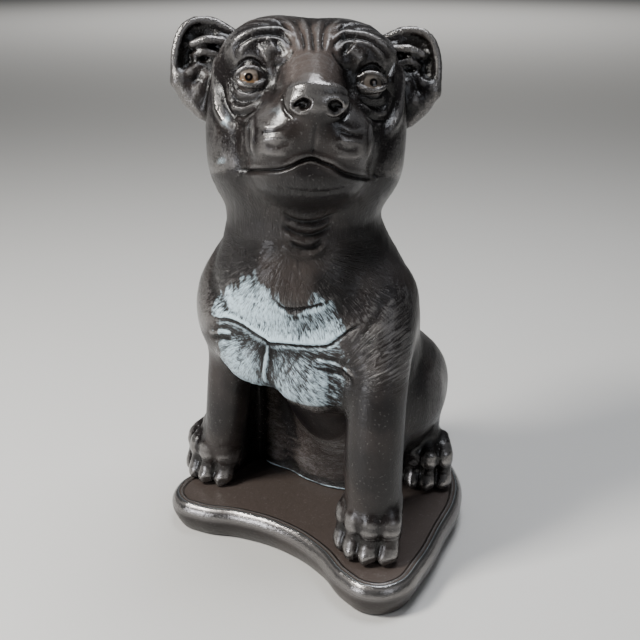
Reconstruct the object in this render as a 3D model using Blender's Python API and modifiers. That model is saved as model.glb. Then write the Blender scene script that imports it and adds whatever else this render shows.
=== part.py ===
"""Garden dog statue: a seated, stocky terrier cast in one piece with its low plinth.

Metres, +Z up. The dog faces -Y, its left side is +X, and the origin is the middle of the
underside. The figure is built as a modeller builds it in clay: rounded volumes for the bones
and muscles are melted together, and the face, chest and paws are then tooled with strokes. Its
volumes are in figure units, of which the figure is 373 high, so one is about a millimetre.
"""
from math import radians

import bmesh
import bpy
import numpy as np
from mathutils import Euler, Matrix, Vector

# Driving sizes, in metres
FIGURE_HEIGHT = 0.373
PLINTH_WIDTH = 0.226
PLINTH_LENGTH = 0.208
PLINTH_THICKNESS = 0.027
PLINTH_UNDERCUT = 0.009
PLINTH_EDGE = 0.0056
FIGURE_SUNK = 0.012
FIGURE_ASIDE = -0.0035

# How far the plinth is turned under the dog, in degrees
PLINTH_TURN = 2.7

# Fineness of the clay: the coarse and fine grain in metres, and the triangles kept
COARSE_GRAIN = 0.004
FINE_GRAIN = 0.0019
KEPT_TRIANGLES = 8400

# Height of the figure in its own units
FIGURE_UNITS = 373.0
UNIT = FIGURE_HEIGHT / FIGURE_UNITS

# Half of the plinth's outline from the front middle to the back middle, in shares of its
# half width and half length: a shallow waist, a lobe under the front paw, then a taper
PLINTH_HALF_OUTLINE = (
    (0.0, -0.80), (0.34, -0.86), (0.61, -0.985), (0.83, -0.995), (0.985, -0.83), (0.985, -0.50),
    (0.90, -0.05), (0.80, 0.38), (0.62, 0.70), (0.33, 0.93), (0.0, 1.0),
)

# The plinth's side from the foot up: shares of the undercut below its widest place and of the
# rounded edge above it, each with the share of the thickness that it is reached at
PLINTH_FOOT = ((1.0, 0.0), (0.58, 0.09), (0.18, 0.37), (0.0, 0.65))
PLINTH_RIM = ((0.29, 0.87), (1.0, 1.0))

CAST_STONE = (0.030, 0.023, 0.020, 1.0)


def melt(near, other, softness):
    """Soft union of two distances, with a fillet of about the given softness."""
    overlap = np.maximum(softness - np.abs(near - other), 0) / softness
    return np.minimum(near, other) - overlap * overlap * softness / 4


class Ball:
    """An ellipsoid of clay, or a hollow of that shape where it is a cut."""

    def __init__(self, centre, radii, turn=(0, 0, 0), join=8, cut=False):
        self.centre = np.array(centre, float)
        self.radii = np.array(radii, float)
        self.axes = np.array(Euler([radians(angle) for angle in turn]).to_matrix())
        self.join = join
        self.cut = cut
        self.middle = self.centre
        self.reach = max(radii)

    def distance(self, points):
        """Signed distance of each point from the surface, good close to it."""
        local = (points - self.centre) @ self.axes
        first = np.linalg.norm(local / self.radii, axis=1)
        second = np.linalg.norm(local / self.radii ** 2, axis=1)
        return first * (first - 1) / np.maximum(second, 1e-9)

    def add_primitive(self, mesh, placing):
        """Add the ball to a bmesh as a stretched sphere."""
        turned = Matrix(self.axes.tolist()).to_4x4()
        matrix = placing @ Matrix.Translation(self.centre) @ turned @ Matrix.Diagonal((*self.radii, 1))
        bmesh.ops.create_icosphere(mesh, subdivisions=3, radius=1, matrix=matrix)

    def mirrored(self):
        """The same ball on the other side of the middle."""
        flip = np.diag([-1.0, 1.0, 1.0])
        other = Ball(self.centre @ flip, self.radii, join=self.join, cut=self.cut)
        other.axes = flip @ self.axes @ flip
        return other


class Limb:
    """A chain of round cones through stations (x, y, z, radius), eased between them."""

    def __init__(self, stations, join=8, steps=3):
        smooth = eased(stations, steps)
        self.points = smooth[:, :3]
        self.radii = smooth[:, 3]
        self.join = join
        self.cut = False
        self.middle = (self.points.min(0) + self.points.max(0)) / 2
        self.reach = (np.linalg.norm(self.points - self.middle, axis=1) + self.radii).max()

    def distance(self, points):
        """Signed distance of each point from the chain's surface."""
        nearest = np.full(len(points), 1e9)
        for start, end, first, last in zip(self.points, self.points[1:], self.radii, self.radii[1:]):
            along = end - start
            share = np.clip(((points - start) @ along) / (along @ along), 0, 1)
            reach = np.linalg.norm(points - start - share[:, None] * along, axis=1)
            nearest = np.minimum(nearest, reach - first - (last - first) * share)
        return nearest

    def add_primitive(self, mesh, placing):
        """Add the chain to a bmesh as spheres and cones."""
        for centre, radius in zip(self.points, self.radii):
            matrix = placing @ Matrix.Translation(centre)
            bmesh.ops.create_icosphere(mesh, subdivisions=2, radius=radius, matrix=matrix)
        for start, end, first, last in zip(self.points, self.points[1:], self.radii, self.radii[1:]):
            along = Vector(end - start)
            matrix = placing @ Matrix.Translation(Vector((start + end) / 2))
            matrix = matrix @ along.to_track_quat("Z", "Y").to_matrix().to_4x4()
            bmesh.ops.create_cone(mesh, cap_ends=True, segments=20, radius1=first, radius2=last,
                                  depth=along.length, matrix=matrix)

    def mirrored(self):
        """The same chain on the other side of the middle."""
        stations = np.column_stack([self.points * (-1, 1, 1), self.radii])
        return Limb(stations, join=self.join, steps=1)


class Group:
    """Volumes that share a place and a turn of their own, such as the head."""

    def __init__(self, volumes, placing, join=10):
        self.volumes = volumes
        self.placing = placing
        self.inverse = np.array(placing.inverted())
        self.join = join
        self.cut = False
        solid = [volume for volume in volumes if not volume.cut]
        centres = np.array([volume.middle for volume in solid])
        reaches = np.array([volume.reach for volume in solid])
        inner_middle = (centres.min(0) + centres.max(0)) / 2
        inner_reach = (np.linalg.norm(centres - inner_middle, axis=1) + reaches).max()
        self.middle = np.array(placing @ Vector(inner_middle))
        self.reach = inner_reach * max(placing.to_scale())

    def distance(self, points):
        """Signed distance of each point from the group's melted surface."""
        return melted(self.volumes, points @ self.inverse[:3, :3].T + self.inverse[:3, 3])

    def add_primitive(self, mesh, placing):
        """Add every volume of the group that isn't a cut."""
        for volume in self.volumes:
            if not volume.cut:
                volume.add_primitive(mesh, placing @ self.placing)


def eased(points, steps):
    """Points of a smooth open curve through the given ones, this many to each stretch."""
    given = np.array(points, float)
    ends = np.vstack([2 * given[0] - given[1], given, 2 * given[-1] - given[-2]])
    curve = []
    for before, start, end, after in zip(ends, ends[1:], ends[2:], ends[3:]):
        share = np.linspace(0, 1, steps, endpoint=False)[:, None]
        linear = (end - before) * share
        square = (2 * before - 5 * start + 4 * end - after) * share ** 2
        cube = (3 * start - before - 3 * end + after) * share ** 3
        curve.append(0.5 * (2 * start + linear + square + cube))
    return np.vstack(curve + [given[-1][None]])


def melted(volumes, points):
    """Signed distance of each point from all the volumes melted together in order.

    A volume is worked out only for the points that it can change.
    """
    total = volumes[0].distance(points)
    for volume in volumes[1:]:
        gap = np.linalg.norm(points - volume.middle, axis=1) - volume.reach
        limit = volume.join - total if volume.cut else volume.join + total
        near = np.nonzero(gap < limit)[0]
        if not len(near):
            continue
        distance = volume.distance(points[near])
        if volume.cut:
            total[near] = -melt(-total[near], distance, volume.join)
        else:
            total[near] = melt(total[near], distance, volume.join)
    return total


def pair(volume):
    """A volume and its mirror image."""
    return [volume, volume.mirrored()]


def placed(x, y, z, yaw=0, pitch=0, roll=0):
    """A place with a turn about Z, then about its own X and Y, in degrees."""
    turn = Matrix.Rotation(radians(yaw), 4, "Z") @ Matrix.Rotation(radians(pitch), 4, "X")
    return Matrix.Translation((x, y, z)) @ turn @ Matrix.Rotation(radians(roll), 4, "Y")


# The head looks up and to the dog's left, and the chest turns part of the way with it
HEAD_PLACE = placed(-6, -33, 311, yaw=43.6, pitch=-19, roll=3)
CHEST_PLACE = placed(-6, -37, 0, yaw=15)

# Middle of the dog's left eyeball in the head's own place, and the eyeball's radius
EYE_PLACE = (38.5, -43.5, 10)
EYEBALL = 8.2


def ear(side):
    """A short squared ear, cupped under its rolled rim; side is 1 on the dog's left, -1 on its right."""
    rim = [(48, 12, 50, 3.2), (57, 10, 55, 3), (67, 8, 59, 3), (79, 6, 58, 3), (87, 5, 51, 3),
           (91, 5, 38, 3), (91.5, 6, 26, 3), (90, 8, 16, 3.2)]
    lobe = [(90, 8, 16, 3.6), (82, 11, 8, 4.6), (72, 13, -2, 5)]
    folds = ([(60, 5, 45, 2.8), (70, 3, 45, 3.2), (80, 5, 42, 2.6)],
             [(64, 6, 36, 2.6), (72, 5, 37, 3), (78, 7, 35, 2.4)])
    lumps = ((88, 7, 19, 5), (81, 7, 22, 4.6), (76, 8, 27, 4.2), (70, 8, 20, 5), (75, 8, 11, 5.4),
             (83, 9, 14, 4.6), (68, 9, 28, 4))
    volumes = [Ball((69, 14, 38), (22, 10, 22), turn=(0, 12, 0), join=8)]
    volumes += [Ball((79, 13, 26), (13, 8, 22), turn=(0, -6, 0), join=8)]
    volumes += [Ball((70, 14, 12), (17, 9, 20), turn=(0, 28, 0), join=8)]
    volumes += [Ball((73, 0, 40), (16, 12, 17), turn=(0, 12, 0), join=2.5, cut=True)]
    volumes += [Ball((80, 0, 27), (10, 10.5, 16), join=2.5, cut=True)]
    volumes += [Limb(rim, join=2.5), Limb(lobe, join=4)]
    volumes += [Limb(fold, join=4) for fold in folds]
    volumes += [Ball(lump[:3], (lump[3],) * 3, join=4.5) for lump in lumps]
    return volumes if side == 1 else [volume.mirrored() for volume in volumes]


def lid(side, lift):
    """An eyelid lying on the eyeball, lifted by this angle in degrees at its middle."""
    over = EYEBALL + 0.4
    stations = []
    for angle in (-85, -60, -30, 0, 30, 60, 85):
        out, up = radians(angle), radians(lift) * np.cos(radians(angle))
        stations.append((side * (EYE_PLACE[0] + over * np.sin(out) * 1.06),
                         EYE_PLACE[1] - over * np.cos(out) * np.cos(up),
                         EYE_PLACE[2] + over * np.sin(up), 1.7))
    return Limb(stations, join=1.5)


def head():
    """Skull, cheeks, brow, muzzle, jaw, nose, eyes and ears, in the head's own place."""
    volumes = [Ball((0, 8, 12), (62, 60, 48))]
    volumes += pair(Ball((25, -5, 23), (37, 42, 35), join=14))
    volumes += pair(Ball((45, 0, -16), (24, 40, 38), join=14))
    volumes += pair(Ball((38, -6, -42), (25, 36, 24), join=14))
    volumes += pair(Ball((33, -36, 31), (22, 14, 14), turn=(20, 0, 0), join=10))
    volumes += [Limb([(0, -36, 22, 20), (0, -60, 8, 17), (0, -80, -6, 15)], join=12)]
    volumes += [Ball((0, -45, -24), (39, 41, 27), join=18)]
    volumes += pair(Ball((19, -55, -32), (20, 28, 19), join=11))
    volumes += pair(Ball((39, -54, 9), (12.5, 9, 9), join=7, cut=True))
    volumes += pair(Ball(EYE_PLACE, (EYEBALL,) * 3, join=2))
    for side in (1, -1):
        volumes += [lid(side, 50), lid(side, -46)]
    volumes += [Ball((0, -42, -52), (36, 36, 18), join=10)]
    volumes += [Ball((2, -87, -11), (18.5, 9.5, 9.5), join=4)]
    for side in (1, -1):
        nostril = (2 + side * 9.2, -97, -14.5)
        volumes += [Ball(nostril, (4.2, 7, 3.4), turn=(0, side * 25, 0), join=2, cut=True)]
    volumes += ear(1)
    volumes += ear(-1)
    return Group(volumes, HEAD_PLACE, join=16)


def chest():
    """Ribs, shoulders, the two breast lobes and the bib of long hair that hangs over them."""
    volumes = [Ball((0, 2, 165), (74, 53, 58))]
    volumes += pair(Ball((54, 0, 160), (30, 38, 48), join=24))
    volumes += [Limb([(-9, -29, 137, 23), (-26, -28, 138, 25), (-44, -15, 144, 23)], join=7)]
    volumes += [Limb([(8, -29, 136, 25), (26, -29, 128, 28), (44, -17, 131, 25)], join=4)]
    volumes += [Ball((-2, -18, 190), (58, 39, 36), turn=(8, 0, 0), join=3)]
    return Group(volumes, CHEST_PLACE, join=26)


def trunk():
    """Neck, back, belly, rump and tail, with the webs that tie the forelegs to the belly."""
    spine = [(-6, -31, 300, 55), (-8, -36, 255, 54), (-8, -31, 215, 57), (-5, -17, 182, 58),
             (-1, -7, 150, 59), (1, 5, 115, 58), (2, 20, 80, 56), (2, 34, 46, 50)]
    volumes = [Limb(spine)]
    volumes += [chest()]
    volumes += [Ball((-20, 18, 40), (52, 36, 150), join=10)]
    volumes += [Limb([(-62, 8, 3, 25), (-62, 8, 60, 25), (-60, 9, 105, 27), (-52, 6, 150, 27)], join=14)]
    volumes += [Ball((55, -16, 50), (8, 24, 105), join=12)]
    volumes += [Ball((-84, -24, 50), (8, 26, 105), join=10)]
    volumes += [Ball((0, 44, 44), (47, 45, 52), join=18)]
    volumes += [Limb([(2, 80, 22, 13), (-20, 88, 11, 9), (-41, 81, 8, 7.5), (-57, 66, 7, 6)], join=10)]
    return volumes


def forelegs():
    """Two straight forelegs, the dog's right one set a little further out."""
    left = [(54, -22, 184, 24), (65, -39, 150, 23), (71, -49, 115, 21), (74, -55, 64, 21),
            (75.5, -54, 24, 20)]
    right = [(-58, -28, 184, 24), (-65, -46, 150, 21), (-68, -54, 115, 18), (-72, -58, 64, 17),
             (-82, -53, 24, 18)]
    return [Limb(left, join=12), Limb(right, join=12)]


def hind_leg(side, out):
    """A folded hind leg, moved out by this much: thigh, knee and the shin down to the foot."""
    shin = [(52, 44, 62, 13), (51, 48, 44, 12), (50, 52, 24, 12.5)]
    return [
        Ball((side * (40 + out), 36, 87), (28, 42, 41), join=22),
        Ball((side * (55 + out), 24, 86), (20, 25, 30), join=10),
        Limb([(side * (x + out), y, z, radius) for x, y, z, radius in shin], join=3),
    ]


def paw(x, y, heading, size=1.0, ankle=15.0):
    """A broad paw with four arched toes and short claws under an ankle of this radius."""
    volumes = [Ball((0, 2, 12), (20, 21, 17), join=6)]
    volumes += [Limb([(0, 3, 44, ankle), (0, 0, 22, ankle + 1.5)], join=10)]
    for place in (-1.5, -0.5, 0.5, 1.5):
        across = place * 12.2
        tip = -24 if abs(place) < 1 else -17
        toe = [(across * 0.72, tip + 21, 42, 6.4), (across * 0.92, tip + 11, 31, 8.6),
               (across, tip + 8, 19, 7.6), (across, tip + 6, 8, 8)]
        volumes.append(Limb(toe, join=2.6))
        volumes.append(Ball((across, tip - 1.5, 5.5), (2.4, 3.4, 3.2), join=2))
    placing = placed(x, y, 0, yaw=heading) @ Matrix.Scale(size, 4)
    return Group(volumes, placing, join=6)


def dog():
    """Every volume of the dog, in figure units above the plinth's top."""
    volumes = trunk() + forelegs() + hind_leg(1, 0) + hind_leg(-1, 6)
    volumes.append(head())
    volumes.append(paw(75.5, -56, heading=8))
    volumes.append(paw(-90, -52, heading=-4))
    volumes.append(paw(52, 50, heading=20, size=0.93, ankle=11))
    volumes.append(paw(-58, 50, heading=-20, size=0.93, ankle=11))
    return volumes


def vertex_places(mesh):
    """The vertices' places as an array."""
    places = np.empty(len(mesh.vertices) * 3, np.float32)
    mesh.vertices.foreach_get("co", places)
    return places.reshape(-1, 3).astype(float)


def vertex_normals(mesh):
    """The vertices' normals as an array."""
    normals = np.empty(len(mesh.vertices) * 3, np.float32)
    mesh.vertex_normals.foreach_get("vector", normals)
    return normals.reshape(-1, 3).astype(float)


def move_vertices(mesh, places):
    """Give the vertices new places."""
    mesh.vertices.foreach_set("co", places.astype(np.float32).ravel())
    mesh.update()


def modified(mesh, kind, **settings):
    """A new mesh: the given one after one modifier."""
    holder = bpy.data.objects.new("holder", mesh)
    bpy.context.scene.collection.objects.link(holder)
    modifier = holder.modifiers.new(kind.title(), kind)
    for name, value in settings.items():
        setattr(modifier, name, value)
    graph = bpy.context.evaluated_depsgraph_get()
    result = bpy.data.meshes.new_from_object(holder.evaluated_get(graph))
    bpy.data.objects.remove(holder)
    return result


def settled(mesh, volumes, passes=4, reach=6.0):
    """Press the mesh's vertices onto the melted surface of the volumes."""
    for _ in range(passes):
        places = vertex_places(mesh)
        distance = np.clip(melted(volumes, places), -reach, reach)
        move_vertices(mesh, places - vertex_normals(mesh) * distance[:, None])
    return mesh


def modelled(volumes):
    """The volumes as one skin: primitives, fused on a coarse grid, then on a fine one."""
    primitives = bmesh.new()
    for volume in volumes:
        volume.add_primitive(primitives, Matrix())
    mesh = bpy.data.meshes.new("Clay")
    primitives.to_mesh(mesh)
    primitives.free()
    for grain in (COARSE_GRAIN, FINE_GRAIN):
        mesh = modified(mesh, "REMESH", mode="VOXEL", voxel_size=grain / UNIT)
        mesh = settled(mesh, volumes)
    return mesh


class Sheet:
    """A flat sheet held in front of the clay: a line drawn on it falls straight back on the clay."""

    def __init__(self, placing, volumes, front=-160.0):
        self.placing = np.array(placing)
        self.volumes = volumes
        self.front = front

    def fallen(self, line):
        """Where the points (x, z) of a drawn line land on the clay."""
        axes = self.placing[:3, :3]
        start = np.column_stack([line[:, 0], np.full(len(line), self.front), line[:, 1]])
        points = start @ axes.T + self.placing[:3, 3]
        for _ in range(30):
            points = points + axes[:, 1] * (0.9 * melted(self.volumes, points))[:, None]
        return points


def stroke(mesh, sheet, line, width, height, taper=0.25):
    """Raise the clay along a drawn line, or sink it where the height is below zero."""
    path = sheet.fallen(eased(line, 5))
    places = vertex_places(mesh)
    reach = width * 2.2
    inside = ((places > path.min(0) - reach) & (places < path.max(0) + reach)).all(1)
    chosen = np.nonzero(inside)[0]
    nearest = np.full(len(chosen), 1e9)
    share = np.zeros(len(chosen))
    for index, (start, end) in enumerate(zip(path, path[1:])):
        along = end - start
        part = np.clip(((places[chosen] - start) @ along) / max(along @ along, 1e-9), 0, 1)
        distance = np.linalg.norm(places[chosen] - start - part[:, None] * along, axis=1)
        closer = distance < nearest
        nearest[closer] = distance[closer]
        share[closer] = (index + part[closer]) / (len(path) - 1)
    ends = np.clip(np.minimum(share, 1 - share) / taper, 0, 1)
    lift = height * ends * ends * (3 - 2 * ends) * np.exp(-(nearest / width) ** 2)
    places[chosen] += vertex_normals(mesh)[chosen] * lift[:, None]
    move_vertices(mesh, places)


def tool_face(mesh, sheet):
    """Brow arches, folds under the eyes, cheek ridges, lips and the mouth."""
    arch = [(53, 22), (50, 32), (40, 41), (26, 41), (16, 34), (11, 22)]
    brow_hollow = [(47, 28), (38, 34), (27, 32), (21, 23)]
    under_eye = [(52, 3), (44, -4), (34, -3), (26, 3)]
    cheek = [(60, 12), (62, 0), (56, -12), (47, -20)]
    lip_fold = [(39, -14), (42, -24), (40, -38)]
    beside_nose = [(20, 18), (24, 8), (23, -4)]
    strokes = ((arch, 3.6, 3.0), (brow_hollow, 3.0, -2.2), (under_eye, 2.8, 1.8), (cheek, 3.6, 2.4),
               (lip_fold, 2.6, 1.8), (beside_nose, 4.0, -2.0))
    for side in (1, -1):
        for line, width, height in strokes:
            stroke(mesh, sheet, [(side * x, z) for x, z in line], width, height)
        for foot, top in ((2.5, 4), (7, 12), (11, 21)):
            furrow = [(side * foot, 26), (side * (foot + top) / 2, 36), (side * top, 48)]
            stroke(mesh, sheet, furrow, 2.2, -1.8)
    mouth = [(-43, -47), (-37, -50), (-20, -50), (0, -46), (18, -50), (30, -54), (42, -53)]
    stroke(mesh, sheet, [(x, z + 4) for x, z in mouth], 3.0, 1.6, taper=0.08)
    stroke(mesh, sheet, mouth, 2.2, -3.6, taper=0.08)
    stroke(mesh, sheet, [(2, -25), (0, -44)], 2.2, -1.8)


def tool_chest(mesh, sheet):
    """Throat folds, the bib's locks and lower edge, the keel between the lobes and the sleeves."""
    for height in (246, 237, 229):
        fold = [(10, height), (18, height - 7), (28, height - 9), (38, height - 6), (45, height)]
        stroke(mesh, sheet, fold, 2.4, -2.2)
    stroke(mesh, sheet, [(-1, 192), (13, 186), (27, 189), (46, 197)], 2.2, -1.6)
    for angle in range(-64, 65, 16):
        across, down = np.sin(radians(angle)), np.cos(radians(angle))
        lock = [(-4 + reach * across, 236 - reach * down) for reach in (34, 48, 62, 72)]
        stroke(mesh, sheet, lock, 3.0, -1.5)
    bib = [(-52, 158), (-28, 162), (-4, 157), (24, 159), (44, 163), (59, 174)]
    stroke(mesh, sheet, bib, 2.6, -2.6, taper=0.1)
    stroke(mesh, sheet, [(x, z + 4) for x, z in bib], 2.6, 1.4, taper=0.1)
    stroke(mesh, sheet, [(-3, 155), (-4, 140), (-5, 120)], 2.6, 1.8)
    for sleeve in ([(-70, 142), (-54, 147), (-38, 148)], [(34, 149), (48, 147), (60, 138)]):
        stroke(mesh, sheet, sleeve, 2.6, 2.0)


def figure():
    """The dog as a light faceted mesh in metres, cut off flat inside the plinth."""
    volumes = dog()
    mesh = modelled(volumes)
    tool_face(mesh, Sheet(HEAD_PLACE, [head()]))
    tool_chest(mesh, Sheet(CHEST_PLACE, trunk()))
    seat = Matrix.Translation((FIGURE_ASIDE, 0, PLINTH_THICKNESS))
    mesh.transform(seat @ Matrix.Scale(UNIT, 4))
    mesh = modified(mesh, "DECIMATE", ratio=KEPT_TRIANGLES / (2 * len(mesh.polygons)))
    trimmed = bmesh.new()
    trimmed.from_mesh(mesh)
    cut = bmesh.ops.bisect_plane(
        trimmed, geom=trimmed.verts[:] + trimmed.edges[:] + trimmed.faces[:], dist=1e-6,
        plane_co=(0, 0, PLINTH_THICKNESS - FIGURE_SUNK), plane_no=(0, 0, 1), clear_inner=True)
    rim = [item for item in cut["geom_cut"] if isinstance(item, bmesh.types.BMEdge)]
    bmesh.ops.holes_fill(trimmed, edges=rim)
    trimmed.to_mesh(mesh)
    trimmed.free()
    return mesh


def plinth_outline():
    """The plinth's smooth outline where it is widest, as points (x, y) in metres."""
    half = [(x * PLINTH_WIDTH / 2, y * PLINTH_LENGTH / 2) for x, y in PLINTH_HALF_OUTLINE]
    turned = Matrix.Rotation(radians(PLINTH_TURN), 3, "Z")
    corners = [turned @ Vector((x, y, 0)) for x, y in half + [(-x, y) for x, y in half[-2:0:-1]]]
    curve = bpy.data.curves.new("Plinth outline", "CURVE")
    curve.dimensions = "2D"
    curve.fill_mode = "NONE"
    curve.resolution_u = 5
    spline = curve.splines.new("BEZIER")
    spline.bezier_points.add(len(corners) - 1)
    spline.use_cyclic_u = True
    for point, corner in zip(spline.bezier_points, corners):
        point.co = corner
        point.handle_left_type = "AUTO"
        point.handle_right_type = "AUTO"
    holder = bpy.data.objects.new("Plinth outline", curve)
    bpy.context.scene.collection.objects.link(holder)
    graph = bpy.context.evaluated_depsgraph_get()
    mesh = bpy.data.meshes.new_from_object(holder.evaluated_get(graph))
    bpy.data.objects.remove(holder)
    return np.array([vertex.co[:2] for vertex in mesh.vertices])


def plinth():
    """The lobed plinth: rings of its outline, drawn in at the foot and rounded at the top."""
    outline = plinth_outline()
    ahead = np.roll(outline, -1, 0) - np.roll(outline, 1, 0)
    inward = np.column_stack([-ahead[:, 1], ahead[:, 0]]) / np.linalg.norm(ahead, axis=1)[:, None]
    inward *= np.sign((inward * -outline).sum())
    profile = [(PLINTH_UNDERCUT * share, height) for share, height in PLINTH_FOOT]
    profile += [(PLINTH_EDGE * share, height) for share, height in PLINTH_RIM]
    form = bmesh.new()
    ring = bmesh.ops.create_circle(form, segments=len(outline), radius=PLINTH_WIDTH / 2)["verts"]
    edges = form.edges[:]
    for step, (inset, height) in enumerate(profile):
        if step:
            grown = bmesh.ops.extrude_edge_only(form, edges=edges)["geom"]
            ring = [item for item in grown if isinstance(item, bmesh.types.BMVert)]
            edges = [item for item in grown if isinstance(item, bmesh.types.BMEdge)]
        for vertex, place in zip(ring, outline + inward * inset):
            vertex.co = (place[0], place[1], height * PLINTH_THICKNESS)
    bmesh.ops.holes_fill(form, edges=form.edges[:], sides=0)
    bmesh.ops.triangulate(form, faces=form.faces)
    bmesh.ops.recalc_face_normals(form, faces=form.faces)
    mesh = bpy.data.meshes.new("Plinth")
    form.to_mesh(mesh)
    form.free()
    return mesh


def centre_over_origin(*meshes):
    """Move the meshes together so that the middle of their common box stands over the origin."""
    places = np.vstack([vertex_places(mesh) for mesh in meshes])
    middle = (places.min(0) + places.max(0)) / 2
    for mesh in meshes:
        mesh.transform(Matrix.Translation((-middle[0], -middle[1], 0)))


def cast_stone():
    """Dark painted cast stone."""
    material = bpy.data.materials.new("Cast stone")
    material.use_nodes = True
    shader = material.node_tree.nodes["Principled BSDF"]
    shader.inputs["Base Color"].default_value = CAST_STONE
    shader.inputs["Roughness"].default_value = 0.42
    shader.inputs["Metallic"].default_value = 0.0
    return material


def main():
    """Clear the scene and build the statue as one object."""
    for item in list(bpy.data.objects):
        bpy.data.objects.remove(item)
    works = bpy.data.collections.new("Garden dog statue")
    cutters = bpy.data.collections.new("Pieces to join")
    for collection in (works, cutters):
        bpy.context.scene.collection.children.link(collection)
    plinth_mesh = plinth()
    figure_mesh = figure()
    centre_over_origin(plinth_mesh, figure_mesh)
    statue = bpy.data.objects.new("dog_statue", plinth_mesh)
    works.objects.link(statue)
    dog_piece = bpy.data.objects.new("Dog to join", figure_mesh)
    dog_piece.hide_render = True
    dog_piece.display_type = "WIRE"
    cutters.objects.link(dog_piece)
    union = statue.modifiers.new("Cast in one", "BOOLEAN")
    union.operation = "UNION"
    union.solver = "EXACT"
    union.object = dog_piece
    statue.data.materials.append(cast_stone())
    statue.data.shade_smooth()
    statue.data.set_sharp_from_angle(angle=radians(40))


main()
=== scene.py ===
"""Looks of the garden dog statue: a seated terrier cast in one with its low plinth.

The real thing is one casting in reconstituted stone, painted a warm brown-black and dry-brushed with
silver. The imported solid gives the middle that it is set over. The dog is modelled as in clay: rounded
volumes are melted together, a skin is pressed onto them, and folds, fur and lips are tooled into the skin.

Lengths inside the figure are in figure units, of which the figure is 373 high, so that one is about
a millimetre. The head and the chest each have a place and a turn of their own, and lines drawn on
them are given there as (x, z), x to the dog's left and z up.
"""
import logging
from dataclasses import dataclass, field
from enum import Enum
from math import cos, radians, sin
from typing import Callable, Iterable, Sequence

import bmesh
import bpy
import numpy as np
from mathutils import Euler, Matrix, Vector
from mathutils.bvhtree import BVHTree
from mathutils.kdtree import KDTree


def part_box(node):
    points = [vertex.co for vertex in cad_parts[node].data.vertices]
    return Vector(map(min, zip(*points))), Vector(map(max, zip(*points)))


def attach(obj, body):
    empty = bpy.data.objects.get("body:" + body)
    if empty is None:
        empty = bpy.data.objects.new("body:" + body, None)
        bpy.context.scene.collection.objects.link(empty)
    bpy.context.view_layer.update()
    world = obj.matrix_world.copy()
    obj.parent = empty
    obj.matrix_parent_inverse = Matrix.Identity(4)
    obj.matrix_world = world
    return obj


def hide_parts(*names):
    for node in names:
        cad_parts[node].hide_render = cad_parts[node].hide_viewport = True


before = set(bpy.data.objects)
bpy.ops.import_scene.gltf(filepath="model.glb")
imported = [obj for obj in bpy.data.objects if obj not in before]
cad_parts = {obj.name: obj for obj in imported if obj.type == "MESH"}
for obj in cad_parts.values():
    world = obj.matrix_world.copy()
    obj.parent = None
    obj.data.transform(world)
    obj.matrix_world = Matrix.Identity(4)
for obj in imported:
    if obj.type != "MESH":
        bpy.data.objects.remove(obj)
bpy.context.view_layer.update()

LOG = logging.getLogger("statue")

Place = tuple[float, float, float]
Line = Sequence[tuple[float, float]]
Station = tuple[float, float, float, float]
Socket = bpy.types.NodeSocket

FIGURE_UNITS = 373.0
LEFT, RIGHT = 1, -1


def melt(near: np.ndarray, other: np.ndarray, softness: float) -> np.ndarray:
    """Soft union of two distances.

    Args:
        near: distances to the first form.
        other: distances to the second form.
        softness: about the width of the fillet between them.

    Returns:
        The distances to both forms melted together.
    """
    overlap = np.maximum(softness - np.abs(near - other), 0) / softness
    return np.minimum(near, other) - overlap * overlap * softness / 4


def eased(points: Sequence[Sequence[float]], steps: int) -> np.ndarray:
    """A smooth open curve through the given points.

    Args:
        points: the points, of any number of coordinates.
        steps: how many stretches the curve makes of each stretch given.

    Returns:
        The curve's points, one to a row.
    """
    given = np.array(points, float)
    ends = np.vstack([2 * given[0] - given[1], given, 2 * given[-1] - given[-2]])
    curve = []
    for before, start, end, after in zip(ends, ends[1:], ends[2:], ends[3:]):
        share = np.linspace(0, 1, steps, endpoint=False)[:, None]
        linear = (end - before) * share
        square = (2 * before - 5 * start + 4 * end - after) * share ** 2
        cube = (3 * start - before - 3 * end + after) * share ** 3
        curve.append(0.5 * (2 * start + linear + square + cube))
    return np.vstack(curve + [given[-1][None]])


def eased_step(low: float, high: float, value: np.ndarray) -> np.ndarray:
    """Rise smoothly from 0 at low to 1 at high, or fall where low is the greater."""
    share = np.clip((value - low) / (high - low), 0, 1)
    return share * share * (3 - 2 * share)


def lattice(column: np.ndarray, row: np.ndarray, seed: int) -> np.ndarray:
    """A fixed pseudo-random value from 0 to 1 for each whole column and row."""
    value = np.sin(column * 127.1 + row * 311.7 + seed * 74.7) * 43758.5453
    return value - np.floor(value)


def soft_noise(across: np.ndarray, along: np.ndarray, seed: int) -> np.ndarray:
    """Smooth noise over a plane.

    Args:
        across: first coordinate, one lattice cell to a unit.
        along: second coordinate.
        seed: picks the pattern.

    Returns:
        Values from 0 to 1.
    """
    column, row = np.floor(across), np.floor(along)
    u, v = across - column, along - row
    u, v = u * u * (3 - 2 * u), v * v * (3 - 2 * v)
    low = lattice(column, row, seed) * (1 - u) + lattice(column + 1, row, seed) * u
    high = lattice(column, row + 1, seed) * (1 - u) + lattice(column + 1, row + 1, seed) * u
    return low * (1 - v) + high * v


def combed(across: np.ndarray, along: np.ndarray, pitch: float, length: float, seed: int) -> np.ndarray:
    """Relief of short combed hair, as uneven tapering tool marks.

    Args:
        across: distance across the hair, in figure units.
        along: distance along it.
        pitch: width of a lock.
        length: length of one mark.
        seed: picks the pattern.

    Returns:
        Heights from 0 in a groove to 1 on a lock.
    """
    bend = soft_noise(across / (6 * pitch), along / (2 * length), seed)
    broad = soft_noise(across / pitch + 3 * bend, along / length + 7 * bend, seed + 1)
    fine = soft_noise(1.9 * across / pitch + 3 * bend, 1.7 * along / length, seed + 2)
    return 0.6 * broad + 0.4 * fine


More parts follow.
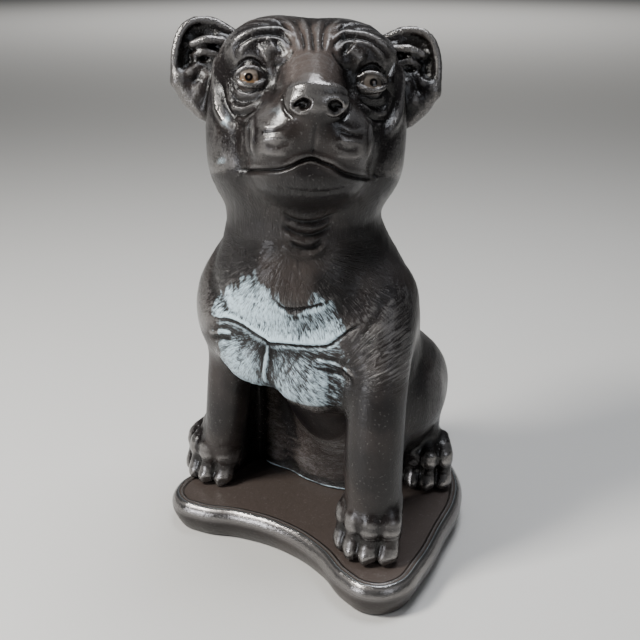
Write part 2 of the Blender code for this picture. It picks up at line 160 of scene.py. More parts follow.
def placed(x: float, y: float, z: float, yaw: float = 0, pitch: float = 0, roll: float = 0) -> Matrix:
    """A place with a turn about Z, then about its own X and Y, in degrees."""
    turn = Matrix.Rotation(radians(yaw), 4, "Z") @ Matrix.Rotation(radians(pitch), 4, "X")
    return Matrix.Translation((x, y, z)) @ turn @ Matrix.Rotation(radians(roll), 4, "Y")


@dataclass
class Ball:
    """An ellipsoid of clay, or a hollow of that shape where it is a cut."""

    centre: Place
    radii: Place
    turn: Place = (0.0, 0.0, 0.0)
    join: float = 8.0
    cut: bool = False
    axes: np.ndarray = field(init=False)

    def __post_init__(self) -> None:
        """Work out the ball's axes and its reach."""
        self.axes = np.array(Euler([radians(angle) for angle in self.turn]).to_matrix())
        self.middle = np.array(self.centre, float)
        self.reach = max(self.radii)

    def distance(self, points: np.ndarray) -> np.ndarray:
        """Signed distance from the surface, good close to it.

        Args:
            points: the points, one to a row.

        Returns:
            The distance of each, below zero inside the ball.
        """
        local = (points - self.middle) @ self.axes
        radii = np.array(self.radii)
        first = np.linalg.norm(local / radii, axis=1)
        second = np.linalg.norm(local / radii ** 2, axis=1)
        return first * (first - 1) / np.maximum(second, 1e-9)

    def add_primitive(self, mesh: bmesh.types.BMesh, placing: Matrix) -> None:
        """Add the ball to a bmesh as a stretched sphere.

        Args:
            mesh: the bmesh.
            placing: the place that the ball's own centre is given in.
        """
        turned = Matrix(self.axes.tolist()).to_4x4()
        matrix = placing @ Matrix.Translation(self.centre) @ turned @ Matrix.Diagonal((*self.radii, 1))
        bmesh.ops.create_icosphere(mesh, subdivisions=3, radius=1, matrix=matrix)

    def mirrored(self) -> "Ball":
        """Make the same ball on the other side of the middle.

        Returns:
            The other ball.
        """
        flip = np.diag([-1.0, 1.0, 1.0])
        other = Ball(tuple(self.middle @ flip), self.radii, join=self.join, cut=self.cut)
        other.axes = flip @ self.axes @ flip
        return other


@dataclass
class Limb:
    """A chain of round cones through stations (x, y, z, radius), eased between them."""

    stations: Sequence[Station]
    join: float = 8.0
    steps: int = 3
    cut: bool = False

    def __post_init__(self) -> None:
        """Ease the stations and work out the chain's reach."""
        smooth = eased(self.stations, self.steps)
        self.points = smooth[:, :3]
        self.radii = smooth[:, 3]
        self.middle = (self.points.min(0) + self.points.max(0)) / 2
        self.reach = (np.linalg.norm(self.points - self.middle, axis=1) + self.radii).max()

    def distance(self, points: np.ndarray) -> np.ndarray:
        """Signed distance from the chain's surface.

        Args:
            points: the points, one to a row.

        Returns:
            The distance of each, below zero inside the chain.
        """
        nearest = np.full(len(points), 1e9)
        for start, end, first, last in zip(self.points, self.points[1:], self.radii, self.radii[1:]):
            along = end - start
            share = np.clip(((points - start) @ along) / (along @ along), 0, 1)
            reach = np.linalg.norm(points - start - share[:, None] * along, axis=1)
            nearest = np.minimum(nearest, reach - first - (last - first) * share)
        return nearest

    def add_primitive(self, mesh: bmesh.types.BMesh, placing: Matrix) -> None:
        """Add the chain to a bmesh as spheres and cones.

        Args:
            mesh: the bmesh.
            placing: the place that the chain's stations are given in.
        """
        for centre, radius in zip(self.points, self.radii):
            matrix = placing @ Matrix.Translation(centre)
            bmesh.ops.create_icosphere(mesh, subdivisions=2, radius=radius, matrix=matrix)
        for start, end, first, last in zip(self.points, self.points[1:], self.radii, self.radii[1:]):
            along = Vector(end - start)
            matrix = placing @ Matrix.Translation(Vector((start + end) / 2))
            matrix = matrix @ along.to_track_quat("Z", "Y").to_matrix().to_4x4()
            bmesh.ops.create_cone(mesh, cap_ends=True, segments=20, radius1=first, radius2=last,
                                  depth=along.length, matrix=matrix)

    def mirrored(self) -> "Limb":
        """The same chain on the other side of the middle."""
        stations = [(-x, y, z, radius) for x, y, z, radius in self.stations]
        return Limb(stations, self.join, self.steps, self.cut)


@dataclass
class Group:
    """Volumes that share a place and a turn of their own, such as the head."""

    volumes: list
    placing: Matrix
    join: float = 10.0
    cut: bool = False

    def __post_init__(self) -> None:
        """Work out the group's middle and reach."""
        self.inverse = np.array(self.placing.inverted())
        solid = [volume for volume in self.volumes if not volume.cut]
        centres = np.array([volume.middle for volume in solid])
        reaches = np.array([volume.reach for volume in solid])
        inner_middle = (centres.min(0) + centres.max(0)) / 2
        inner_reach = (np.linalg.norm(centres - inner_middle, axis=1) + reaches).max()
        self.middle = np.array(self.placing @ Vector(inner_middle))
        self.reach = inner_reach * max(self.placing.to_scale())

    def local(self, points: np.ndarray) -> np.ndarray:
        """The points in the group's own place."""
        return points @ self.inverse[:3, :3].T + self.inverse[:3, 3]

    def distance(self, points: np.ndarray) -> np.ndarray:
        """Signed distance of each point from the group's melted surface."""
        return melted(self.volumes, self.local(points))

    def add_primitive(self, mesh: bmesh.types.BMesh, placing: Matrix) -> None:
        """Add every volume of the group that isn't a cut.

        Args:
            mesh: the bmesh.
            placing: the place that the group's own place is given in.
        """
        for volume in self.volumes:
            if not volume.cut:
                volume.add_primitive(mesh, placing @ self.placing)


def melted(volumes: list, points: np.ndarray) -> np.ndarray:
    """Signed distance of each point from all the volumes melted together in order.

    Args:
        volumes: balls, limbs and groups, the cuts among them.
        points: the points, one to a row.

    Returns:
        The distances. A volume is worked out only for the points that it can change.
    """
    total = volumes[0].distance(points)
    for volume in volumes[1:]:
        gap = np.linalg.norm(points - volume.middle, axis=1) - volume.reach
        limit = volume.join - total if volume.cut else volume.join + total
        near = np.nonzero(gap < limit)[0]
        if not len(near):
            continue
        distance = volume.distance(points[near])
        if volume.cut:
            total[near] = -melt(-total[near], distance, volume.join)
        else:
            total[near] = melt(total[near], distance, volume.join)
    return total


def pair(volume: Ball) -> list:
    """A volume and its mirror image."""
    return [volume, volume.mirrored()]


@dataclass
class DogFigure:
    """The seated terrier as volumes, in figure units above the plinth's top."""

    head_place: Matrix = field(default_factory=lambda: placed(-6, -33, 311, yaw=43.6, pitch=-19, roll=3))
    chest_place: Matrix = field(default_factory=lambda: placed(-6, -37, 0, yaw=15))
    eye: Place = (38.5, -43.5, 10.0)
    eyeball: float = 8.2

    def __post_init__(self) -> None:
        """Build every volume."""
        self.head = self.make_head()
        self.chest = self.make_chest()
        self.paws = [self.paw(75.5, -56, 8), self.paw(-90, -52, -4),
                     self.paw(52, 50, 20, 0.93, ankle=11), self.paw(-58, 50, -20, 0.93, ankle=11)]
        legs = self.forelegs() + self.hind_leg(LEFT, 0) + self.hind_leg(RIGHT, 6)
        self.volumes = self.trunk() + legs + [self.head] + self.paws

    def ear(self, side: int) -> list:
        """A short squared ear, cupped under its rolled rim, with the folds and lumps of its inside.

        Args:
            side: 1 on the dog's left and -1 on its right.

        Returns:
            The ear's volumes.
        """
        rim = [(48, 12, 50, 3.2), (57, 10, 55, 3), (67, 8, 59, 3), (79, 6, 58, 3), (87, 5, 51, 3),
               (91, 5, 38, 3), (91.5, 6, 26, 3), (90, 8, 16, 3.2)]
        lobe = [(90, 8, 16, 3.6), (82, 11, 8, 4.6), (72, 13, -2, 5)]
        folds = ([(60, 5, 45, 2.8), (70, 3, 45, 3.2), (80, 5, 42, 2.6)],
                 [(64, 6, 36, 2.6), (72, 5, 37, 3), (78, 7, 35, 2.4)])
        lumps = ((88, 7, 19, 5), (81, 7, 22, 4.6), (76, 8, 27, 4.2), (70, 8, 20, 5), (75, 8, 11, 5.4),
                 (83, 9, 14, 4.6), (68, 9, 28, 4))
        volumes: list = [Ball((69, 14, 38), (22, 10, 22), turn=(0, 12, 0), join=8),
                         Ball((79, 13, 26), (13, 8, 22), turn=(0, -6, 0), join=8),
                         Ball((70, 14, 12), (17, 9, 20), turn=(0, 28, 0), join=8),
                         Ball((73, 0, 40), (16, 12, 17), turn=(0, 12, 0), join=2.5, cut=True),
                         Ball((80, 0, 27), (10, 10.5, 16), join=2.5, cut=True)]
        volumes += [Limb(rim, join=2.5), Limb(lobe, join=4)]
        volumes += [Limb(fold, join=4) for fold in folds]
        volumes += [Ball(lump[:3], (lump[3],) * 3, join=4.5) for lump in lumps]
        return volumes if side == LEFT else [volume.mirrored() for volume in volumes]

    def lid(self, side: int, lift: float) -> Limb:
        """An eyelid on the eyeball.

        Args:
            side: 1 on the dog's left and -1 on its right.
            lift: how far it is lifted at its middle, in degrees, below zero for a lower lid.

        Returns:
            The lid's rim.
        """
        over = self.eyeball + 0.4
        stations = []
        for angle in (-85, -60, -30, 0, 30, 60, 85):
            out, up = radians(angle), radians(lift) * cos(radians(angle))
            stations.append((side * (self.eye[0] + over * sin(out) * 1.06),
                             self.eye[1] - over * cos(out) * cos(up), self.eye[2] + over * sin(up), 1.7))
        return Limb(stations, join=1.5)

    def make_head(self) -> Group:
        """Model skull, cheeks, brow, muzzle, jaw, nose, eyes and ears.

        Returns:
            The head, in its own place.
        """
        volumes: list = [Ball((0, 8, 12), (62, 60, 48))]
        volumes += pair(Ball((25, -5, 23), (37, 42, 35), join=14))
        volumes += pair(Ball((45, 0, -16), (24, 40, 38), join=14))
        volumes += pair(Ball((38, -6, -42), (25, 36, 24), join=14))
        volumes += pair(Ball((33, -36, 31), (22, 14, 14), turn=(20, 0, 0), join=10))
        volumes += [Limb([(0, -36, 22, 20), (0, -60, 8, 17), (0, -80, -6, 15)], join=12)]
        volumes += [Ball((0, -45, -24), (39, 41, 27), join=18)]
        volumes += pair(Ball((19, -55, -32), (20, 28, 19), join=11))
        volumes += pair(Ball((39, -54, 9), (12.5, 9, 9), join=7, cut=True))
        volumes += pair(Ball(self.eye, (self.eyeball,) * 3, join=2))
        for side in (LEFT, RIGHT):
            volumes += [self.lid(side, 39), self.lid(side, -39)]
        volumes += [Ball((0, -42, -52), (36, 36, 18), join=10)]
        volumes += [Ball((2.5, -87, -11), (18.5, 9.5, 9.5), join=4)]
        volumes += [Ball((2.5, -86, -5), (17.5, 10, 5.5), turn=(-12, 0, 0), join=3)]
        for side in (LEFT, RIGHT):
            nostril = (3 + side * 9.2, -97, -14.5)
            wing = (3 + side * 12.4, -95.5, -13.4)
            volumes += [Ball(nostril, (4.2, 7, 3.4), turn=(0, side * 25, 0), join=2, cut=True)]
            volumes += [Ball(wing, (4.2, 6, 1.7), turn=(0, side * 30, 0), join=1.5, cut=True)]
        volumes += self.ear(LEFT)
        volumes += self.ear(RIGHT)
        return Group(volumes, self.head_place, join=16)

    def make_chest(self) -> Group:
        """Model ribs, shoulders, the two breast lobes and the bib of long hair that hangs over them.

        Returns:
            The chest, in its own place.
        """
        volumes: list = [Ball((0, 2, 165), (74, 53, 58))]
        volumes += pair(Ball((54, 0, 160), (30, 38, 48), join=24))
        volumes += [Limb([(-9, -29, 137, 23), (-26, -28, 138, 25), (-44, -15, 144, 23)], join=7)]
        volumes += [Limb([(8, -29, 136, 25), (26, -29, 128, 28), (44, -17, 131, 25)], join=4)]
        volumes += [Ball((-2, -18, 190), (58, 39, 36), turn=(8, 0, 0), join=3)]
        return Group(volumes, self.chest_place, join=26)

    def trunk(self) -> list:
        """Model neck, back, belly, rump and tail, with the webs that tie the forelegs to the belly.

        Returns:
            The trunk's volumes, the chest among them.
        """
        spine = [(-6, -31, 300, 55), (-8, -36, 255, 54), (-8, -31, 215, 57), (-5, -17, 182, 58),
                 (-1, -7, 150, 59), (1, 5, 115, 58), (2, 20, 80, 56), (2, 34, 46, 50)]
        tail = [(2, 80, 22, 13), (-20, 88, 11, 9), (-41, 81, 8, 7.5), (-57, 66, 7, 6)]
        flank = [(-62, 8, 3, 25), (-62, 8, 60, 25), (-60, 9, 105, 27), (-52, 6, 150, 27)]
        volumes = [Limb(spine), self.chest, Ball((-20, 18, 40), (52, 36, 150), join=10)]
        volumes += [Limb(flank, join=14)]
        volumes += [Ball((55, -16, 50), (8, 24, 105), join=12), Ball((-84, -24, 50), (8, 26, 105), join=10)]
        return volumes + [Ball((0, 44, 44), (47, 45, 52), join=18), Limb(tail, join=10)]

    def forelegs(self) -> list:
        """Model two straight forelegs, the dog's right one set a little further out.

        Returns:
            The two legs.
        """
        left = [(54, -22, 184, 24), (65, -39, 150, 23), (71, -49, 115, 21), (74, -55, 64, 21),
                (75.5, -54, 24, 20)]
        right = [(-58, -28, 184, 24), (-65, -46, 150, 21), (-68, -54, 115, 18), (-72, -58, 64, 17),
                 (-82, -53, 24, 18)]
        return [Limb(left, join=12), Limb(right, join=12)]

    def hind_leg(self, side: int, out: float) -> list:
        """A folded hind leg: thigh, knee and the shin down to the foot.

        Args:
            side: 1 on the dog's left and -1 on its right.
            out: how far it is moved out from the dog's middle.

        Returns:
            The leg's volumes.
        """
        shin = [(52, 44, 62, 13), (51, 48, 44, 12), (50, 52, 24, 12.5)]
        return [
            Ball((side * (40 + out), 36, 87), (28, 42, 41), join=22),
            Ball((side * (55 + out), 24, 86), (20, 25, 30), join=10),
            Limb([(side * (x + out), y, z, radius) for x, y, z, radius in shin], join=3),
        ]

    def paw(self, x: float, y: float, heading: float, size: float = 1.0, ankle: float = 15.0) -> Group:
        """A broad paw with four arched toes and short claws.

        Args:
            x: where it stands.
            y: where it stands.
            heading: which way it points, in degrees from straight ahead.
            size: its share of a forepaw's size.
            ankle: radius of the leg just above it.

        Returns:
            The paw's volumes.
        """
        volumes: list = [Ball((0, 2, 12), (20, 21, 17), join=6),
                         Limb([(0, 3, 44, ankle), (0, 0, 22, ankle + 1.5)], join=10)]
        for place in (-1.5, -0.5, 0.5, 1.5):
            across = place * 12.2
            tip = -24 if abs(place) < 1 else -17
            toe = [(across * 0.72, tip + 21, 42, 6.2), (across * 0.92, tip + 10, 31, 9.2),
                   (across, tip + 8.5, 19, 6.9), (across, tip + 6, 8, 8.3)]
            volumes.append(Limb(toe, join=2.6))
            volumes.append(Ball((across, tip + 1, 5), (3.4, 4.2, 4.2), join=3))
        return Group(volumes, placed(x, y, 0, yaw=heading) @ Matrix.Scale(size, 4), join=6)


@dataclass(frozen=True)
class Stroke:
    """One mark of a modelling tool along a drawn line, raised, or sunk if its height is below zero."""

    line: Line
    width: float
    height: float
    taper: float = 0.25

    def mirrored(self) -> "Stroke":
        """The same mark on the other side of the face."""
        return Stroke([(-x, z) for x, z in self.line], self.width, self.height, self.taper)


class Skin:
    """The dog's skin: a fine mesh pressed onto the melted volumes and then tooled."""

    def __init__(self, figure: DogFigure, coarse: float = 4.0, fine: float = 2.5) -> None:
        """Fuse the volumes on a coarse grid and then on a fine one.

        Args:
            figure: the dog's volumes.
            coarse: first grain, in figure units.
            fine: second grain.
        """
        self.figure = figure
        primitives = bmesh.new()
        for volume in figure.volumes:
            volume.add_primitive(primitives, Matrix())
        self.mesh = bpy.data.meshes.new("Clay")
        primitives.to_mesh(self.mesh)
        primitives.free()
        for grain in (coarse, fine):
            self.mesh = modified(self.mesh, "REMESH", mode="VOXEL", voxel_size=grain)
            self.settle(4)

    @property
    def places(self) -> np.ndarray:
        """Where the vertices are.

        Returns:
            Their places, one to a row.
        """
        places = np.empty(len(self.mesh.vertices) * 3, np.float32)
        self.mesh.vertices.foreach_get("co", places)
        return places.reshape(-1, 3).astype(float)

    @places.setter
    def places(self, places: np.ndarray) -> None:
        """Give the vertices new places."""
        self.mesh.vertices.foreach_set("co", places.astype(np.float32).ravel())
        self.mesh.update()

    @property
    def normals(self) -> np.ndarray:
        """Which way the skin faces.

        Returns:
            The vertices' normals, one to a row.
        """
        normals = np.empty(len(self.mesh.vertices) * 3, np.float32)
        self.mesh.vertex_normals.foreach_get("vector", normals)
        return normals.reshape(-1, 3).astype(float)

    def settle(self, passes: int, reach: float = 6.0) -> None:
        """Press the vertices onto the melted surface.

        Args:
            passes: how often.
            reach: the furthest that a vertex moves in one pass.
        """
        for _ in range(passes):
            places = self.places
            distance = np.clip(melted(self.figure.volumes, places), -reach, reach)
            self.places = places - self.normals * distance[:, None]

    def refine(self, chosen: Callable[[np.ndarray], np.ndarray]) -> None:
        """Halve the faces where finer work comes.

        Args:
            chosen: says for each place whether it is in that area.
        """
        inside = chosen(self.places)
        mesh = bmesh.new()
        mesh.from_mesh(self.mesh)
        edges = [edge for edge in mesh.edges if inside[edge.verts[0].index] and inside[edge.verts[1].index]]
        bmesh.ops.subdivide_edges(mesh, edges=edges, cuts=1, use_grid_fill=True)
        mesh.to_mesh(self.mesh)
        mesh.free()
        self.settle(2)

    def raise_by(self, height: np.ndarray) -> None:
        """Move each vertex out along its normal by its own height."""
        self.places = self.places + self.normals * height[:, None]

    def tool(self, placing: Matrix, strokes: Iterable[Stroke], front: float = -160.0) -> None:
        """Work a set of marks into the skin.

        The lines are drawn on a flat sheet in front of the clay and fall straight back onto it.

        Args:
            placing: the place of the head or chest that the sheet stands before.
            strokes: the marks, in order.
            front: how far out the sheet is.
        """
        tree = BVHTree.FromPolygons(self.places.tolist(), [face.vertices[:] for face in self.mesh.polygons])
        inward = placing.to_3x3() @ Vector((0, 1, 0))
        places, normals = self.places, self.normals
        for stroke in strokes:
            fallen = []
            for x, z in eased(stroke.line, 5):
                hit = tree.ray_cast(placing @ Vector((x, front, z)), inward)[0]
                if hit is not None:
                    fallen.append(hit)
            if len(fallen) > 1:
                chosen, lift = marked(places, np.array(fallen), stroke)
                places[chosen] += normals[chosen] * lift[:, None]
        self.places = places


def marked(places: np.ndarray, path: np.ndarray, stroke: Stroke) -> tuple[np.ndarray, np.ndarray]:
    """How far one mark lifts the skin.

    Args:
        places: the skin's vertices.
        path: the mark's line on the skin.
        stroke: its width, height and taper.

    Returns:
        The vertices that it reaches, and the lift of each.
    """
    reach = stroke.width * 2.2
    inside = ((places > path.min(0) - reach) & (places < path.max(0) + reach)).all(1)
    chosen = np.nonzero(inside)[0]
    nearest = np.full(len(chosen), 1e9)
    share = np.zeros(len(chosen))
    for index, (start, end) in enumerate(zip(path, path[1:])):
        along = end - start
        part = np.clip(((places[chosen] - start) @ along) / max(along @ along, 1e-9), 0, 1)
        distance = np.linalg.norm(places[chosen] - start - part[:, None] * along, axis=1)
        closer = distance < nearest
        nearest[closer] = distance[closer]
        share[closer] = (index + part[closer]) / (len(path) - 1)
    ends = eased_step(0, stroke.taper, np.minimum(share, 1 - share))
    return chosen, stroke.height * ends * np.exp(-(nearest / stroke.width) ** 2)


def modified(mesh: bpy.types.Mesh, kind: str, **settings: object) -> bpy.types.Mesh:
    """A new mesh: the given one after one modifier.

    Args:
        mesh: the mesh to start from.
        kind: the modifier's type.
        settings: its settings by name.

    Returns:
        The modified mesh.
    """
    holder = bpy.data.objects.new("holder", mesh)
    bpy.context.scene.collection.objects.link(holder)
    modifier = holder.modifiers.new(kind.title(), kind)
    for name, value in settings.items():
        setattr(modifier, name, value)
    graph = bpy.context.evaluated_depsgraph_get()
    result = bpy.data.meshes.new_from_object(holder.evaluated_get(graph))
    bpy.data.objects.remove(holder)
    return result


@dataclass(frozen=True)
class FaceTools:
    """The marks of the face, drawn on a sheet in front of the head."""

    brow_and_eye: tuple[Stroke, ...] = (
        Stroke([(57, 27), (48, 33), (38, 38), (29, 40), (19, 40), (13, 34), (10, 24)], 3.2, 2.4),
        Stroke([(52, 27), (43, 32), (33, 36), (24, 37), (17, 35), (13, 28)], 1.8, -1.3),
        Stroke([(48, 23), (44, 28), (37, 33), (29, 34), (21, 33), (17, 28), (16, 22)], 2.2, 1.6),
        Stroke([(33, 22), (27, 26), (22, 30)], 5.5, 2.6),
        Stroke([(27, 17), (20, 18), (15, 22), (12, 27)], 2.0, -1.8),
        Stroke([(50, 14), (45, 19), (39, 21), (33, 18), (28, 12)], 1.5, -1.5),
        Stroke([(50, 5), (44, 1), (36, 0), (29, 3)], 2.4, 1.6),
        Stroke([(52, 0), (45, -4), (37, -4), (29, 0)], 1.6, -1.4),
        Stroke([(52, -5), (45, -9), (37, -8), (29, -3)], 2.4, 1.6),
        Stroke([(52, -10), (43, -13), (35, -11), (28, -4)], 1.8, -1.4),
        Stroke([(48, -14), (40, -17), (33, -14)], 2.4, 1.0),
        Stroke([(46, 51), (34, 50), (20, 48), (12, 40)], 2.4, 1.4),
        Stroke([(48, 45), (36, 45), (24, 44)], 1.6, -0.9),
    )
    cheek_and_muzzle: tuple[Stroke, ...] = (
        Stroke([(63, 42), (63, 24), (62, 9), (60, -6), (54, -17), (47, -25)], 3.6, 2.4),
        Stroke([(58, 14), (56, 0), (52, -10), (45, -19)], 2.6, -1.6),
        Stroke([(37, -17), (36, -29), (36, -42)], 2.5, 1.3),
        Stroke([(42, -16), (42, -29), (41, -40)], 2.2, -1.2),
        Stroke([(34, -24), (24, -27), (14, -22)], 1.8, 0.45),
        Stroke([(33, -34), (24, -33), (14, -33)], 1.6, 0.4),
        Stroke([(32, -40), (22, -42), (13, -41)], 1.6, 0.4),
        Stroke([(32, -30), (23, -29), (13, -27)], 1.6, -0.6),
        Stroke([(29, -37), (21, -38), (13, -35)], 1.6, -0.55),
        Stroke([(20, 18), (24, 8), (24, -4)], 4.0, -1.8),
        Stroke([(44, -48), (43, -52)], 2.2, 1.5),
    )
    nose: tuple[Stroke, ...] = (
        Stroke([(20, -5), (21, -11), (18, -18), (12, -22)], 1.5, -1.3),
        Stroke([(16, -10), (15, -16), (10, -19), (4, -18)], 1.3, 1.0),
    )
    furrows: tuple[Stroke, ...] = (
        Stroke([(-27, 54), (-19, 45), (-15, 34), (-13, 26)], 2.0, -1.2),
        Stroke([(-21, 55), (-14, 45), (-10, 33), (-9, 22)], 2.0, 1.3),
        Stroke([(-14, 56), (-9, 45), (-6, 32), (-6, 20)], 1.7, -1.1),
        Stroke([(-7, 56), (-4, 44), (-3, 32), (-3, 22)], 1.8, 1.0),
        Stroke([(-1, 57), (-1, 44), (0, 31), (0, 19)], 1.8, -1.5),
        Stroke([(6, 56), (4, 44), (3, 32), (3, 22)], 1.8, 1.0),
        Stroke([(13, 56), (8, 45), (6, 33), (6, 21)], 1.7, -1.0),
        Stroke([(20, 55), (13, 46), (10, 35), (9, 24)], 2.0, 1.2),
        Stroke([(27, 53), (19, 45), (14, 35), (12, 27)], 2.0, -1.1),
    )
    lips: Line = ((-44, -47), (-34, -50), (-22, -51), (-13, -49), (-7, -46), (0, -44), (7, -46),
                  (13, -48), (20, -51), (29, -52), (44, -50))

    def strokes(self) -> list[Stroke]:
        """List every mark of the face.

        Returns:
            The marks, in the order in which they are made.
        """
        marks = []
        for stroke in self.brow_and_eye + self.cheek_and_muzzle:
            marks += [stroke, stroke.mirrored()]
        for stroke in self.nose:
            marks += [Stroke([(2 + x, z) for x, z in stroke.line], stroke.width, stroke.height),
                      Stroke([(2 - x, z) for x, z in stroke.line], stroke.width, stroke.height)]
        marks += self.furrows
        marks.append(Stroke([(x, z + 3.2) for x, z in self.lips], 2.2, 0.7, 0.08))
        marks.append(Stroke([(x, z - 2.3) for x, z in self.lips], 1.4, 0.8, 0.08))
        marks.append(Stroke(self.lips, 1.05, -2.3, 0.06))
        marks.append(Stroke([(2, -22), (1, -33), (0, -43)], 1.4, -0.7))
        marks.append(Stroke([(-27, -59), (-10, -63), (10, -63), (27, -58)], 2.6, -1.0))
        return marks


@dataclass(frozen=True)
class ChestTools:
    """The marks of the throat and chest, drawn on a sheet in front of the chest."""

    bib_edge: Line = ((-47, 165), (-39, 166), (-27, 165), (-18, 162), (-7, 158), (-3, 156), (11, 157),
                      (31, 158), (40, 160), (45, 164), (53, 171), (62, 178))
    throat: tuple[Stroke, ...] = (
        Stroke([(9, 254), (15, 248), (25, 246), (35, 248), (42, 253)], 1.8, -2.0),
        Stroke([(12, 247), (21, 243), (31, 243), (38, 246)], 2.2, 1.4),
        Stroke([(9, 246), (14, 240), (24, 237), (33, 239), (40, 246)], 2.0, -2.6),
        Stroke([(10, 240), (17, 234), (26, 232), (35, 238)], 2.0, 2.0),
        Stroke([(13, 233), (20, 229), (28, 229), (34, 235)], 2.2, -2.2),
        Stroke([(9, 232), (16, 225), (24, 223), (32, 226), (37, 233)], 1.8, 1.5),
    )
    folds: tuple[Stroke, ...] = (
        Stroke([(3, 196), (11, 188), (19, 187), (33, 190), (43, 194)], 1.3, -1.1),
        Stroke([(3, 192), (12, 184), (20, 183), (33, 186), (43, 190)], 1.8, 0.5),
        Stroke([(-4, 156), (-5, 145), (-7, 132), (-9, 120)], 2.0, 2.0),
        Stroke([(-60, 150), (-46, 155), (-35, 157)], 1.8, 1.7),
        Stroke([(-60, 146), (-46, 151), (-36, 152)], 1.8, -1.4),
        Stroke([(27, 149), (43, 147), (53, 144), (63, 138)], 1.8, 1.8),
        Stroke([(30, 144), (43, 142), (53, 139), (60, 134)], 1.8, -1.4),
        Stroke([(73, 196), (72, 189), (69, 179), (62, 167)], 3.4, -1.0),
    )

    def strokes(self) -> list[Stroke]:
        """List every mark of the throat and chest.

        Returns:
            The marks, in the order in which they are made.
        """
        marks = list(self.throat + self.folds)
        marks.append(Stroke([(x, z + 3.2) for x, z in self.bib_edge], 3.0, 0.5, 0.06))
        marks.append(Stroke(self.bib_edge, 1.3, -1.9, 0.06))
        return marks


class Comb(Enum):
    """The areas whose hair fans out from one point, by the name of their attribute."""

    BIB = "bib_comb"
    BREAST = "breast_comb"
    SHOULDER = "shoulder_comb"


class Cover(Enum):
    """The other coverings of the skin, by the name of their attribute."""

    HEAD_HAIR = "head_hair"
    COAT_HAIR = "coat_hair"
    BELLY_HAIR = "belly_hair"
    SILVER = "silver"
    EYE = "eye"
    RELIEF = "relief"
    HOLLOW = "hollow"
    WARM = "warm"


@dataclass(frozen=True)
class SilverRub:
    """How hard the silver was rubbed onto each area, as a share of the bib's; the cheek patches add to the
    face's.
    """

    bib: float = 1.0
    fringe: float = 0.42
    breast: float = 0.58
    left_shoulder: float = 0.47
    right_shoulder: float = 0.46
    face: float = 0.4
    cheek_patch: float = 0.14
    nose: float = 0.42
    toes: float = 0.5
    haunch: float = 0.16
    wall_foot: float = 0.8
    wall: float = 0.5


